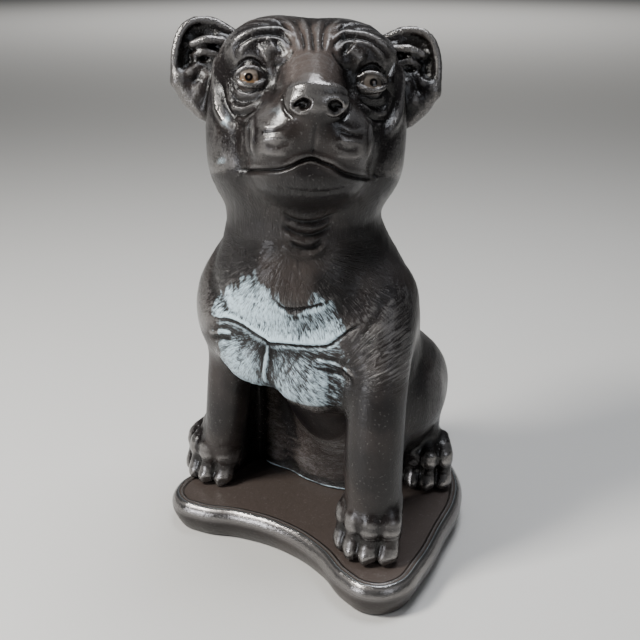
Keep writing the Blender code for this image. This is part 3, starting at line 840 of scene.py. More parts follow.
@dataclass
class Coat:
    """Where the hair lies, which way it is combed, and where the silver was rubbed on.

    The pale patches on the dog's right cheek and muzzle are given as (x, z, half width, half height) on the
    head.
    """

    figure: DogFigure
    rub: SilverRub = SilverRub()
    throat: tuple[float, float] = (16.0, 232.0)
    keel_top: tuple[float, float] = (-4.0, 162.0)
    armpit: tuple[float, float] = (14.0, 104.0)
    edge: Line = ChestTools.bib_edge
    silver_top: Line = ((-62, 182), (-45, 194), (-30, 205), (-14, 211), (-2, 212), (6, 207), (12, 201),
                        (20, 193), (27, 195), (33, 204), (40, 205), (48, 197), (56, 188), (64, 182))
    cheek_patches: tuple[tuple[float, float, float, float], ...] = (
        (-54, -17, 7, 13), (-54, -40, 9, 9), (-22, -17, 7, 8))

    def over_bib_edge(self, chest: np.ndarray) -> np.ndarray:
        """Height of each point above the bib's lower edge, below zero under it."""
        return chest[:, 2] - np.interp(chest[:, 0], [x for x, _ in self.edge], [z for _, z in self.edge])

    def facing(self, normals: np.ndarray, placing: Matrix) -> np.ndarray:
        """How far each normal points out of the front of that place, from -1 to 1."""
        return normals @ -np.array(placing.to_3x3())[:, 1]

    def combs(self, places: np.ndarray, normals: np.ndarray) -> dict[Comb, np.ndarray]:
        """The distance across and along the hair and its weight, for each fan of hair.

        Args:
            places: the points, in figure units.
            normals: their normals.

        Returns:
            For each fan one row (across, along, weight) to a point.
        """
        chest = self.figure.chest.local(places)
        x, z = chest[:, 0], chest[:, 2]
        front = eased_step(0.05, 0.45, self.facing(normals, self.figure.chest_place))
        over = self.over_bib_edge(chest)
        bib = front * eased_step(-0.6, 0.6, over) * eased_step(240, 222, z)
        bib *= eased_step(80, 64, np.abs(x - 4))
        breast = front * eased_step(0.6, -0.6, over) * eased_step(84, 100, z)
        breast *= eased_step(60, 46, np.abs(x))
        shoulder = eased_step(40, 56, x) * eased_step(-8, -24, chest[:, 1]) * eased_step(120, 140, z)
        shoulder *= eased_step(205, 185, z) * (1 - bib)
        result = {}
        for area, centre, weight, spread in ((Comb.BIB, self.throat, bib, 54.0),
                                             (Comb.BREAST, self.keel_top, breast, 34.0),
                                             (Comb.SHOULDER, self.armpit, shoulder, 80.0)):
            aside, up = x - centre[0], z - centre[1]
            ahead = up if area is Comb.SHOULDER else -up
            result[area] = np.column_stack([np.arctan2(aside, ahead) * spread, np.hypot(aside, up), weight])
        return result

    def hair(self, places: np.ndarray, combs: dict[Comb, np.ndarray]) -> dict[Cover, np.ndarray]:
        """How much short hair covers each point of the head, the belly wall and the rest.

        Args:
            places: the points, in figure units.
            combs: the fans of hair there, which leave no room for short hair.

        Returns:
            The weights for each kind of short hair, from 0 to 1.
        """
        head = self.figure.head.local(places)
        on_head = eased_step(-60, -50, head[:, 2] - 0.45 * np.maximum(head[:, 1], 0))
        belly = self.on_wall(places)
        bare = np.prod([1 - weight[:, 2] for weight in combs.values()], axis=0) * (1 - on_head) * (1 - belly)
        coat = bare * np.clip(eased_step(150, 190, places[:, 2]) + eased_step(-16, 4, places[:, 1]), 0, 1)
        face = eased_step(-76, -62, head[:, 1])
        return {Cover.HEAD_HAIR: on_head * face, Cover.BELLY_HAIR: belly,
                Cover.COAT_HAIR: coat * eased_step(30, 50, places[:, 2])}

    def on_wall(self, places: np.ndarray) -> np.ndarray:
        """How far each point belongs to the belly wall between the forelegs.

        Args:
            places: the points, in figure units.

        Returns:
            From 0 off the wall to 1 on it.
        """
        x, y, z = places.T
        across = eased_step(-80, -72, x) * eased_step(50, 42, x)
        return across * eased_step(112, 96, z) * eased_step(2, -6, y) * eased_step(-32, -26, y)

    def relief(self, places: np.ndarray, normals: np.ndarray) -> np.ndarray:
        """How far the tooled hair stands out.

        Args:
            places: the points, in figure units.
            normals: their normals.

        Returns:
            The height at each point, in figure units.
        """
        combs = self.combs(places, normals)
        covers = self.hair(places, combs)
        height = np.zeros(len(places))
        for area, pitch, length, depth, seed in ((Comb.BIB, 1.5, 7, 0.6, 1), (Comb.BREAST, 1.4, 6, 0.6, 4),
                                                 (Comb.SHOULDER, 1.7, 8, 0.6, 7)):
            across, along, weight = combs[area].T
            height += weight * depth * (combed(across, along, pitch, length, seed) - 0.5)
        belly = covers[Cover.BELLY_HAIR]
        height += belly * 0.7 * (combed(places[:, 2], places[:, 0], 2.4, 8, 13) - 0.5)
        coat = covers[Cover.COAT_HAIR] + 0.6 * covers[Cover.HEAD_HAIR]
        around = places[:, 0] + 0.8 * places[:, 1]
        return height + coat * 0.5 * (combed(around, places[:, 2], 2.8, 12, 16) - 0.5)

    def chest_silver(self, places: np.ndarray, normals: np.ndarray) -> np.ndarray:
        """How much silver was rubbed onto bib, breast and shoulders; on the bib it is also a painted sky
        reflection.

        Args:
            places: the points, in figure units.
            normals: their normals.

        Returns:
            The silver at each point, from 0 to 1.
        """
        chest = self.figure.chest.local(places)
        x, y, z = chest.T
        front = eased_step(-0.05, 0.4, self.facing(normals, self.figure.chest_place))
        over = self.over_bib_edge(chest)
        top = np.interp(x, [across for across, _ in self.silver_top], [up for _, up in self.silver_top])
        ragged = soft_noise(x / 5, z / 9, 3) + soft_noise(x / 2.2, z / 6, 5) - 1
        # On the bib the rubbed silver is brightest low on the forward-facing front, and there it is also a
        # painted sky reflection.
        bib = front * eased_step(-0.5, 0.8, over) * eased_step(28, -40, z - top + 12 * ragged)
        bib *= eased_step(-70, -46, x) * eased_step(84, 34, x)
        fringe = front * eased_step(-0.5, 0.8, over) * eased_step(214, 186, z)
        breast = front * eased_step(0.8, -0.5, over) * eased_step(98, 118, z)
        breast *= eased_step(68, 48, np.abs(x) + 8 * ragged)
        left = eased_step(36, 60, x) * eased_step(-8, -26, y) * eased_step(122, 146, z)
        left *= eased_step(212, 186, z)
        right = eased_step(-50, -62, x) * eased_step(-2, -20, y) * eased_step(140, 156, z)
        right *= eased_step(212, 186, z)
        return np.maximum.reduce((
            bib * self.rub.bib, fringe * self.rub.fringe, breast * self.rub.breast,
            left * self.rub.left_shoulder, right * self.rub.right_shoulder))

    def head_silver(self, places: np.ndarray) -> np.ndarray:
        """How much silver was rubbed onto face, ears and nose.

        Args:
            places: the points, in figure units.

        Returns:
            The silver at each point, from 0 to 1.
        """
        x, y, z = self.figure.head.local(places).T
        face = eased_step(60, 20, y) * eased_step(-52, -44, z)
        face *= 1 - 0.3 * eased_step(60, 70, np.abs(x))
        # Paler silver patches on the dog's right cheek and muzzle, added to the face's silver.
        cheek_patch = np.zeros(len(places))
        for across, up, wide, high in self.cheek_patches:
            patch = np.exp(-((x - across) / wide) ** 2 - ((z - up) / high) ** 2)
            cheek_patch = np.maximum(cheek_patch, patch)
        cheek_patch *= eased_step(10, -20, y) * (0.6 + 0.8 * soft_noise(x / 4, z / 3, 21))
        nose = eased_step(-78, -84, y) * eased_step(-26, -22, z) * eased_step(6, 2, z)
        return np.maximum(face * (self.rub.face + self.rub.cheek_patch * cheek_patch), nose * self.rub.nose)

    def low_silver(self, places: np.ndarray) -> np.ndarray:
        """How much silver was rubbed onto paws, haunches and belly wall.

        Args:
            places: the points, in figure units.

        Returns:
            The silver at each point, from 0 to 1.
        """
        toes = np.zeros(len(places))
        for paw in self.figure.paws:
            across, ahead, up = paw.local(places).T
            near = eased_step(34, 28, np.abs(across)) * eased_step(8, -4, ahead)
            toes = np.maximum(toes, near * eased_step(-42, -36, ahead) * eased_step(56, 22, up))
        x, y, z = places.T
        haunch = eased_step(40, 52, np.abs(x)) * eased_step(6, 20, y)
        haunch *= eased_step(128, 108, z) * eased_step(40, 56, z)
        foot = eased_step(3.2, 1.8, z) * eased_step(52, 48, np.abs(x + 26))
        foot *= eased_step(0, -5, y) * eased_step(-34, -28, y)
        return np.maximum.reduce((toes * self.rub.toes, haunch * self.rub.haunch, foot * self.rub.wall_foot,
                                  self.on_wall(places) * self.rub.wall))

    def silver(self, places: np.ndarray, normals: np.ndarray) -> np.ndarray:
        """How much silver was rubbed onto each place, before the relief takes it up.

        Args:
            places: the points, in figure units.
            normals: their normals.

        Returns:
            The silver at each point, from 0 to 1.
        """
        chest, head = self.chest_silver(places, normals), self.head_silver(places)
        return np.maximum.reduce((chest, head, self.low_silver(places)))

    def warm(self, places: np.ndarray) -> np.ndarray:
        """How brown the paint is: most on the bridge of the nose, less on the throat and the wall.

        Args:
            places: the points, in figure units.

        Returns:
            The brown at each point, from 0 to 1.
        """
        head, chest = self.figure.head.local(places), self.figure.chest.local(places)
        bridge = eased_step(20, 13, np.abs(head[:, 0])) * eased_step(-30, -42, head[:, 1])
        bridge *= eased_step(-4, 4, head[:, 2])
        throat = eased_step(24, 14, np.abs(chest[:, 0] - 12)) * eased_step(186, 196, chest[:, 2])
        throat *= eased_step(228, 216, chest[:, 2]) * eased_step(0, -10, chest[:, 1])
        return np.maximum.reduce((bridge * 0.9, throat * 0.55, self.on_wall(places) * 0.5))


@dataclass
class PlinthForm:
    """The low lobed plinth: two front lobes under the paws, a shallow waist and a round back.

    Half its outline is given as shares of its half width and half length, from the middle of the front
    round to the middle of the back. The edge profile is given as (inset, height) in millimetres.
    """

    width: float = 0.226
    length: float = 0.208
    thickness: float = 0.027
    turn: float = 2.7
    half_outline: Line = (
        (0.0, -0.80), (0.34, -0.86), (0.61, -0.985), (0.83, -0.995), (0.985, -0.83), (0.985, -0.50),
        (0.90, -0.05), (0.80, 0.38), (0.62, 0.70), (0.33, 0.93), (0.0, 1.0))
    edge_profile: Line = (
        (9.0, 0.0), (6.6, 0.5), (5.2, 2.4), (3.4, 6.0), (1.6, 10.0), (0.4, 14.0), (0.0, 17.5),
        (0.4, 20.6), (1.6, 23.4), (3.0, 25.3), (4.6, 26.6), (5.6, 27.0), (6.4, 26.5), (7.0, 25.9),
        (7.7, 26.5), (8.4, 26.8), (9.1, 26.4), (9.8, 25.9), (11.0, 26.0), (13.0, 26.2))
    side_rub: float = 0.39
    bead_rub: float = 0.54

    @property
    def flat(self) -> float:
        """Height of the plinth's flat top inside its beads."""
        return self.edge_profile[-1][1] / 1000

    def outline(self) -> np.ndarray:
        """Draw the smooth outline.

        Returns:
            A closed run of points (x, y) in metres, anticlockwise from above.
        """
        half = [(x * self.width / 2, y * self.length / 2) for x, y in self.half_outline]
        turned = Matrix.Rotation(radians(self.turn), 3, "Z")
        corners = [turned @ Vector((x, y, 0)) for x, y in half + [(-x, y) for x, y in half[-2:0:-1]]]
        curve = bpy.data.curves.new("Plinth outline", "CURVE")
        curve.dimensions = "2D"
        curve.fill_mode = "NONE"
        curve.resolution_u = 14
        spline = curve.splines.new("BEZIER")
        spline.bezier_points.add(len(corners) - 1)
        spline.use_cyclic_u = True
        for point, corner in zip(spline.bezier_points, corners):
            point.co = corner
            point.handle_left_type = "AUTO"
            point.handle_right_type = "AUTO"
        holder = bpy.data.objects.new("Plinth outline", curve)
        bpy.context.scene.collection.objects.link(holder)
        graph = bpy.context.evaluated_depsgraph_get()
        mesh = bpy.data.meshes.new_from_object(holder.evaluated_get(graph))
        bpy.data.objects.remove(holder)
        return np.array([vertex.co[:2] for vertex in mesh.vertices])

    def mesh(self) -> bpy.types.Mesh:
        """Run the outline up the edge profile ring by ring and close it above and below.

        Returns:
            The plinth.
        """
        outline = self.outline()
        ahead = np.roll(outline, -1, 0) - np.roll(outline, 1, 0)
        inward = np.column_stack([-ahead[:, 1], ahead[:, 0]]) / np.linalg.norm(ahead, axis=1)[:, None]
        inward *= np.sign((inward * -outline).sum())
        form = bmesh.new()
        ring = bmesh.ops.create_circle(form, segments=len(outline), radius=self.width / 2)["verts"]
        edges = form.edges[:]
        for step, (inset, height) in enumerate(self.edge_profile):
            if step:
                grown = bmesh.ops.extrude_edge_only(form, edges=edges)["geom"]
                ring = [item for item in grown if isinstance(item, bmesh.types.BMVert)]
                edges = [item for item in grown if isinstance(item, bmesh.types.BMEdge)]
            for vertex, place in zip(ring, outline + inward * inset / 1000):
                vertex.co = (place[0], place[1], height / 1000)
        bmesh.ops.holes_fill(form, edges=form.edges[:], sides=0)
        bmesh.ops.recalc_face_normals(form, faces=form.faces)
        mesh = bpy.data.meshes.new("Plinth")
        form.to_mesh(mesh)
        form.free()
        return mesh

    def inset(self, metres: np.ndarray) -> np.ndarray:
        """How far each point lies inside the plinth's outline.

        Args:
            metres: the points, in metres.

        Returns:
            The distance from the nearest point of the outline in millimetres, and 99 for a point more
            than a millimetre above the plinth.
        """
        outline = self.outline()
        tree = KDTree(len(outline))
        for index, (x, y) in enumerate(outline):
            tree.insert((x, y, 0), index)
        tree.balance()
        result = np.full(len(metres), 99.0)
        for index in np.nonzero(metres[:, 2] < self.thickness + 0.001)[0]:
            result[index] = tree.find((metres[index, 0], metres[index, 1], 0))[2] * 1000
        return result

    def silver(self, metres: np.ndarray, inset: np.ndarray) -> np.ndarray:
        """How much silver was rubbed onto the plinth: its side, and the beads round its top.

        Args:
            metres: the points, in metres.
            inset: how far each lies inside the outline, in millimetres.

        Returns:
            The silver at each point, from 0 to 1.
        """
        height = metres[:, 2] * 1000
        side = eased_step(26.4, 24.5, height) * self.side_rub * eased_step(13, 22.5, height)
        beads = eased_step(26.1, 26.7, height) * eased_step(11, 9, inset) * self.bead_rub
        return np.maximum(side, beads)


@dataclass
class StatueCasting:
    """The whole casting: the dog, tooled and combed, sunk a little into its plinth."""

    figure: DogFigure
    plinth: PlinthForm
    coat: Coat
    figure_height: float = 0.373
    sunk: float = 0.012
    aside: float = -0.0035
    figure_triangles: int = 172000
    iris_turn: tuple[float, float] = (8.0, -4.0)
    wall_bead: Stroke = Stroke(
        ((-76, 2.2), (-60, 1.8), (-44, 2.4), (-30, 1.6), (-14, 2.2), (4, 1.8), (24, 2.2)), 1.4, 1.3, 0.05)

    def __post_init__(self) -> None:
        """Work out how the figure's units lie in the frame."""
        self.unit = self.figure_height / FIGURE_UNITS
        self.shift = np.array([self.aside, 0, self.plinth.thickness])

    def modelled_dog(self) -> bpy.types.Mesh:
        """Model the dog: settle the skin, tool it and cut it off inside the plinth.

        Returns:
            The dog in metres over its plinth, closed, and not yet over the frame's middle.
        """
        skin = Skin(self.figure)
        head, chest = self.figure.head, self.figure.chest
        skin.refine(lambda places: (head.local(places)[:, 1] < 5) & (np.abs(head.local(places)[:, 0]) < 95))
        skin.refine(lambda places: (head.local(places)[:, 1] < -34) & (head.local(places)[:, 2] > -66))
        skin.refine(lambda places: (chest.local(places)[:, 1] < -12) & (np.abs(places[:, 2] - 182) < 76))
        skin.refine(self.on_paws)
        for _ in range(2):
            skin.refine(self.on_wall_foot)
        LOG.info("skin of %d vertices settled", len(skin.mesh.vertices))
        skin.tool(self.figure.head_place, FaceTools().strokes())
        skin.tool(self.figure.chest_place, ChestTools().strokes())
        skin.tool(Matrix(), (self.wall_bead,))
        skin.raise_by(self.coat.relief(skin.places, skin.normals))
        LOG.info("face, chest and hair tooled")
        mesh = modified(skin.mesh, "DECIMATE", ratio=self.figure_triangles / (2 * len(skin.mesh.polygons)))
        mesh.transform(Matrix.Translation(self.shift) @ Matrix.Scale(self.unit, 4))
        return self.cut_flat(mesh)

    def on_wall_foot(self, places: np.ndarray) -> np.ndarray:
        """Whether each place is on the foot of the belly wall."""
        low = (places[:, 2] > -2) & (places[:, 2] < 6)
        return low & (np.abs(places[:, 0] + 26) < 54) & (np.abs(places[:, 1] + 14) < 16)

    def on_paws(self, places: np.ndarray) -> np.ndarray:
        """Whether each place is on one of the paws.

        Args:
            places: the points, in figure units.

        Returns:
            True for each that is.
        """
        near = np.zeros(len(places), bool)
        for paw in self.figure.paws:
            local = paw.local(places)
            near |= (np.abs(local[:, 0]) < 32) & (np.abs(local[:, 1] + 4) < 34) & (local[:, 2] < 54)
        return near

    def cut_flat(self, mesh: bpy.types.Mesh) -> bpy.types.Mesh:
        """Cut the figure off flat inside the plinth and close the cut.

        Args:
            mesh: the figure, in metres.

        Returns:
            The same mesh, cut.
        """
        form = bmesh.new()
        form.from_mesh(mesh)
        cut = bmesh.ops.bisect_plane(
            form, geom=form.verts[:] + form.edges[:] + form.faces[:], dist=1e-6,
            plane_co=(0, 0, self.plinth.thickness - self.sunk), plane_no=(0, 0, 1), clear_inner=True)
        rim = [item for item in cut["geom_cut"] if isinstance(item, bmesh.types.BMEdge)]
        bmesh.ops.holes_fill(form, edges=rim)
        form.to_mesh(mesh)
        form.free()
        return mesh

    def cast(self) -> bpy.types.Object:
        """Cast dog and plinth in one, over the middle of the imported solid.

        Returns:
            The finished piece, with its coverings as attributes.
        """
        dog, plinth = self.modelled_dog(), self.plinth.mesh()
        places = np.array([vertex.co for mesh in (dog, plinth) for vertex in mesh.vertices])
        low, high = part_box("dog_statue")
        middle = (places.min(0) + places.max(0)) / 2 - (np.array(low) + np.array(high)) / 2
        for mesh in (dog, plinth):
            mesh.transform(Matrix.Translation((-middle[0], -middle[1], 0)))
        self.shift = self.shift - [middle[0], middle[1], 0]
        LOG.info("figure stands at %s", np.round(self.shift, 5).tolist())
        tool = bpy.data.objects.new("figure to join", dog)
        bpy.context.scene.collection.objects.link(tool)
        mesh = modified(plinth, "BOOLEAN", operation="UNION", solver="EXACT", object=tool)
        bpy.data.objects.remove(tool)
        mesh.shade_smooth()
        self.crease_foot(mesh)
        mesh.name = "Statue casting"
        self.cover(mesh)
        statue = bpy.data.objects.new("statue_casting", mesh)
        bpy.context.scene.collection.objects.link(statue)
        return statue

    def crease_foot(self, mesh: bpy.types.Mesh) -> None:
        """Make the mesh triangles, and sharp where the figure stands out of the plinth's flat top.

        Args:
            mesh: the casting, which is changed.
        """
        form = bmesh.new()
        form.from_mesh(mesh)
        bmesh.ops.triangulate(form, faces=form.faces[:])
        form.normal_update()
        for edge in form.edges:
            rises = sorted(face.normal.z for face in edge.link_faces)
            low = max(vertex.co.z for vertex in edge.verts) < self.plinth.thickness + 0.0001
            edge.smooth = not (low and len(rises) == 2 and rises[1] > 0.995 and rises[0] < 0.8)
        form.to_mesh(mesh)
        form.free()

    def eyes(self, places: np.ndarray) -> np.ndarray:
        """Where the painted eyes are.

        Args:
            places: the points, in figure units.

        Returns:
            For each point the distance from the iris's middle along the eyeball, the eye's side, and how
            far the point is eyeball, from 0 to 1; away from the eyes 99, 0 and 0.
        """
        head = self.figure.head.local(places)
        result = np.column_stack([np.full(len(places), 99.0), np.zeros(len(places)), np.zeros(len(places))])
        for side in (LEFT, RIGHT):
            centre = np.array(self.figure.eye) * (side, 1, 1)
            out, up = radians(self.iris_turn[0]), radians(self.iris_turn[1])
            gaze = np.array([side * sin(out) * cos(up), -cos(out) * cos(up), sin(up)])
            offset = head - centre
            reach = np.linalg.norm(offset, axis=1)
            turn = np.arccos(np.clip(offset @ gaze / np.maximum(reach, 1e-6), -1, 1))
            near = reach < self.figure.eyeball + 4
            result[near, 0] = turn[near] * self.figure.eyeball
            result[near, 1] = side
            result[near, 2] = eased_step(1.1, 0.5, reach[near] - self.figure.eyeball)
        return result

    def cover(self, mesh: bpy.types.Mesh) -> None:
        """Store the hair, the silver, the eyes and the plinth's own bands on the mesh's points.

        Args:
            mesh: the casting, in metres, which is given the attributes.
        """
        metres, normals = vertex_values(mesh)
        places = (metres - self.shift) / self.unit
        on_plinth = (metres[:, 2] < self.plinth.thickness + 0.0003).astype(float)
        combs = self.coat.combs(places, normals)
        for area, rows in combs.items():
            rows[:, 2] *= 1 - on_plinth
            add_attribute(mesh, area.value, rows)
        for cover, weights in self.coat.hair(places, combs).items():
            add_attribute(mesh, cover.value, weights * (1 - on_plinth))
        inset = self.plinth.inset(metres - [self.shift[0] - self.aside, self.shift[1], 0])
        silver = np.where(on_plinth > 0, self.plinth.silver(metres, inset), self.coat.silver(places, normals))
        add_attribute(mesh, Cover.SILVER.value, silver)
        plinth_warmth = on_plinth * (0.15 + 0.85 * eased_step(0.0245, 0.026, metres[:, 2]))
        warmth = np.maximum(plinth_warmth, self.coat.warm(places) * (1 - on_plinth))
        add_attribute(mesh, Cover.WARM.value, warmth)
        add_attribute(mesh, Cover.EYE.value, self.eyes(places))
        add_attribute(mesh, "head_place", self.figure.head.local(places))
        for name, passes, reach in ((Cover.RELIEF.value, 5, 0.45), (Cover.HOLLOW.value, 40, 2.2)):
            stand = ((metres - smoothed(mesh, metres, passes)) * normals).sum(1) * 1000
            stand[np.abs(metres[:, 2] - self.plinth.flat) < 0.0002] = 0
            add_attribute(mesh, name, np.clip(stand / reach, -1, 1))


def vertex_values(mesh: bpy.types.Mesh) -> tuple[np.ndarray, np.ndarray]:
    """Read a mesh's vertices.

    Args:
        mesh: the mesh.

    Returns:
        Their places and their normals, one to a row.
    """
    places = np.empty(len(mesh.vertices) * 3, np.float32)
    normals = np.empty(len(mesh.vertices) * 3, np.float32)
    mesh.vertices.foreach_get("co", places)
    mesh.vertex_normals.foreach_get("vector", normals)
    return places.reshape(-1, 3).astype(float), normals.reshape(-1, 3).astype(float)


def smoothed(mesh: bpy.types.Mesh, places: np.ndarray, passes: int) -> np.ndarray:
    """Smooth the vertices' places by moving each to the middle of its neighbours.

    Args:
        mesh: the mesh, for its edges.
        places: the vertices' places, one to a row.
        passes: how often.

    Returns:
        The smoothed places.
    """
    edges = np.empty(len(mesh.edges) * 2, np.int32)
    mesh.edges.foreach_get("vertices", edges)
    one, other = edges.reshape(-1, 2).T
    count = np.bincount(edges, minlength=len(places))[:, None]
    for _ in range(passes):
        total = np.column_stack([
            np.bincount(one, values[other], len(values)) + np.bincount(other, values[one], len(values))
            for values in places.T])
        places = total / np.maximum(count, 1)
    return places


def add_attribute(mesh: bpy.types.Mesh, name: str, values: np.ndarray) -> None:
    """Store one value, or one vector, for each point of the mesh.

    Args:
        mesh: the mesh.
        name: the attribute's name.
        values: the values, one or one row of three to a vertex.
    """
    kind, slot = ("FLOAT", "value") if values.ndim == 1 else ("FLOAT_VECTOR", "vector")
    attribute = mesh.attributes.new(name, kind, "POINT")
    attribute.data.foreach_set(slot, values.astype(np.float32).ravel())


def linear(colour: str) -> tuple[float, float, float, float]:
    """An sRGB hex colour as Blender's linear colour."""
    parts = [int(colour[at:at + 2], 16) / 255 for at in (1, 3, 5)]
    return (*[part / 12.92 if part <= 0.04045 else ((part + 0.055) / 1.055) ** 2.4 for part in parts], 1.0)


def add_node(tree: bpy.types.NodeTree, kind: str, inputs: dict | None = None, output: int | str = 0,
             **settings: object) -> Socket:
    """Add a node to a material.

    Args:
        tree: the material's nodes.
        kind: the node's type.
        inputs: for each input, by name or number, a socket to link or a value.
        output: the output that is handed on, by name or number.
        settings: the node's own settings.

    Returns:
        That output.
    """
    node = tree.nodes.new(kind)
    for name, value in settings.items():
        setattr(node, name, value)
    for key, value in (inputs or {}).items():
        if isinstance(value, Socket):
            tree.links.new(value, node.inputs[key])
        else:
            node.inputs[key].default_value = value
    return node.outputs[output]


@dataclass(frozen=True)
class HairMarks:
    """The fine scratches of one covering of hair: its attribute, sizes in millimetres, and depth."""

    area: Comb | Cover
    size: Place
    strength: float


@dataclass(frozen=True)
class EyePaint:
    """The painted eyes, radii in millimetres.

    A tan iris, with a painted highlight of cream over its top and greyed on the dog's left eye as painted
    shade, round a dark ringed pupil that has a painted glint in its middle.
    """

    tan: str = "#5f4830"
    # The dog's left iris is greyed as painted shade.
    shaded_iris: str = "#45423f"
    # The cream over the iris's top is a painted highlight.
    iris_highlight: str = "#6f665e"
    ring: str = "#0b0909"
    corner: str = "#3b3431"
    iris_radius: float = 6.9
    pupil_radius: float = 2.7
    # The glint in the pupil is a painted highlight.
    glint_radius: float = 1.0

    def colour(self, tree: bpy.types.NodeTree, away: Socket, side: Socket, rise: Socket) -> Socket:
        """The colour of the eyeball.

        Args:
            tree: the material's nodes.
            away: distance from the iris's middle.
            side: 1 on the dog's left eye and -1 on its right one.
            rise: height in the head.

        Returns:
            The colour's socket.
        """
        # Painted shade: the dog's left eye is mixed most of the way to grey.
        left = add_node(tree, "ShaderNodeMapRange", {0: side, 1: -0.5, 2: 0.5, 4: 0.8},
                        interpolation_type="SMOOTHSTEP")
        # Painted highlight: the iris turns to cream towards its top.
        highlight_share = add_node(tree, "ShaderNodeMapRange", {0: rise, 1: 6.0, 2: 13.0},
                         interpolation_type="SMOOTHSTEP")
        iris = add_node(tree, "ShaderNodeMix", {0: highlight_share, 6: linear(self.tan), 7: linear(self.iris_highlight)}, 2,
                        data_type="RGBA")
        iris = add_node(tree, "ShaderNodeMix", {0: left, 6: iris, 7: linear(self.shaded_iris)}, 2, data_type="RGBA")
        looks = iris
        # Inside the dark ring the pupil's middle takes the iris's colour again as a painted glint.
        for low, high, share, paint in (
                (self.pupil_radius + 0.4, self.pupil_radius - 0.4, 1.0, linear(self.ring)),
                (self.glint_radius + 0.3, self.glint_radius - 0.3, 0.6, iris),
                (self.iris_radius - 1.3, self.iris_radius - 0.2, 0.9, linear(self.ring)),
                (self.iris_radius + 0.1, self.iris_radius + 0.8, 1.0, linear(self.corner))):
            reach = add_node(tree, "ShaderNodeMapRange", {0: away, 1: low, 2: high, 4: share},
                             interpolation_type="SMOOTHSTEP")
            looks = add_node(tree, "ShaderNodeMix", {0: reach, 6: looks, 7: paint}, 2, data_type="RGBA")
        return looks


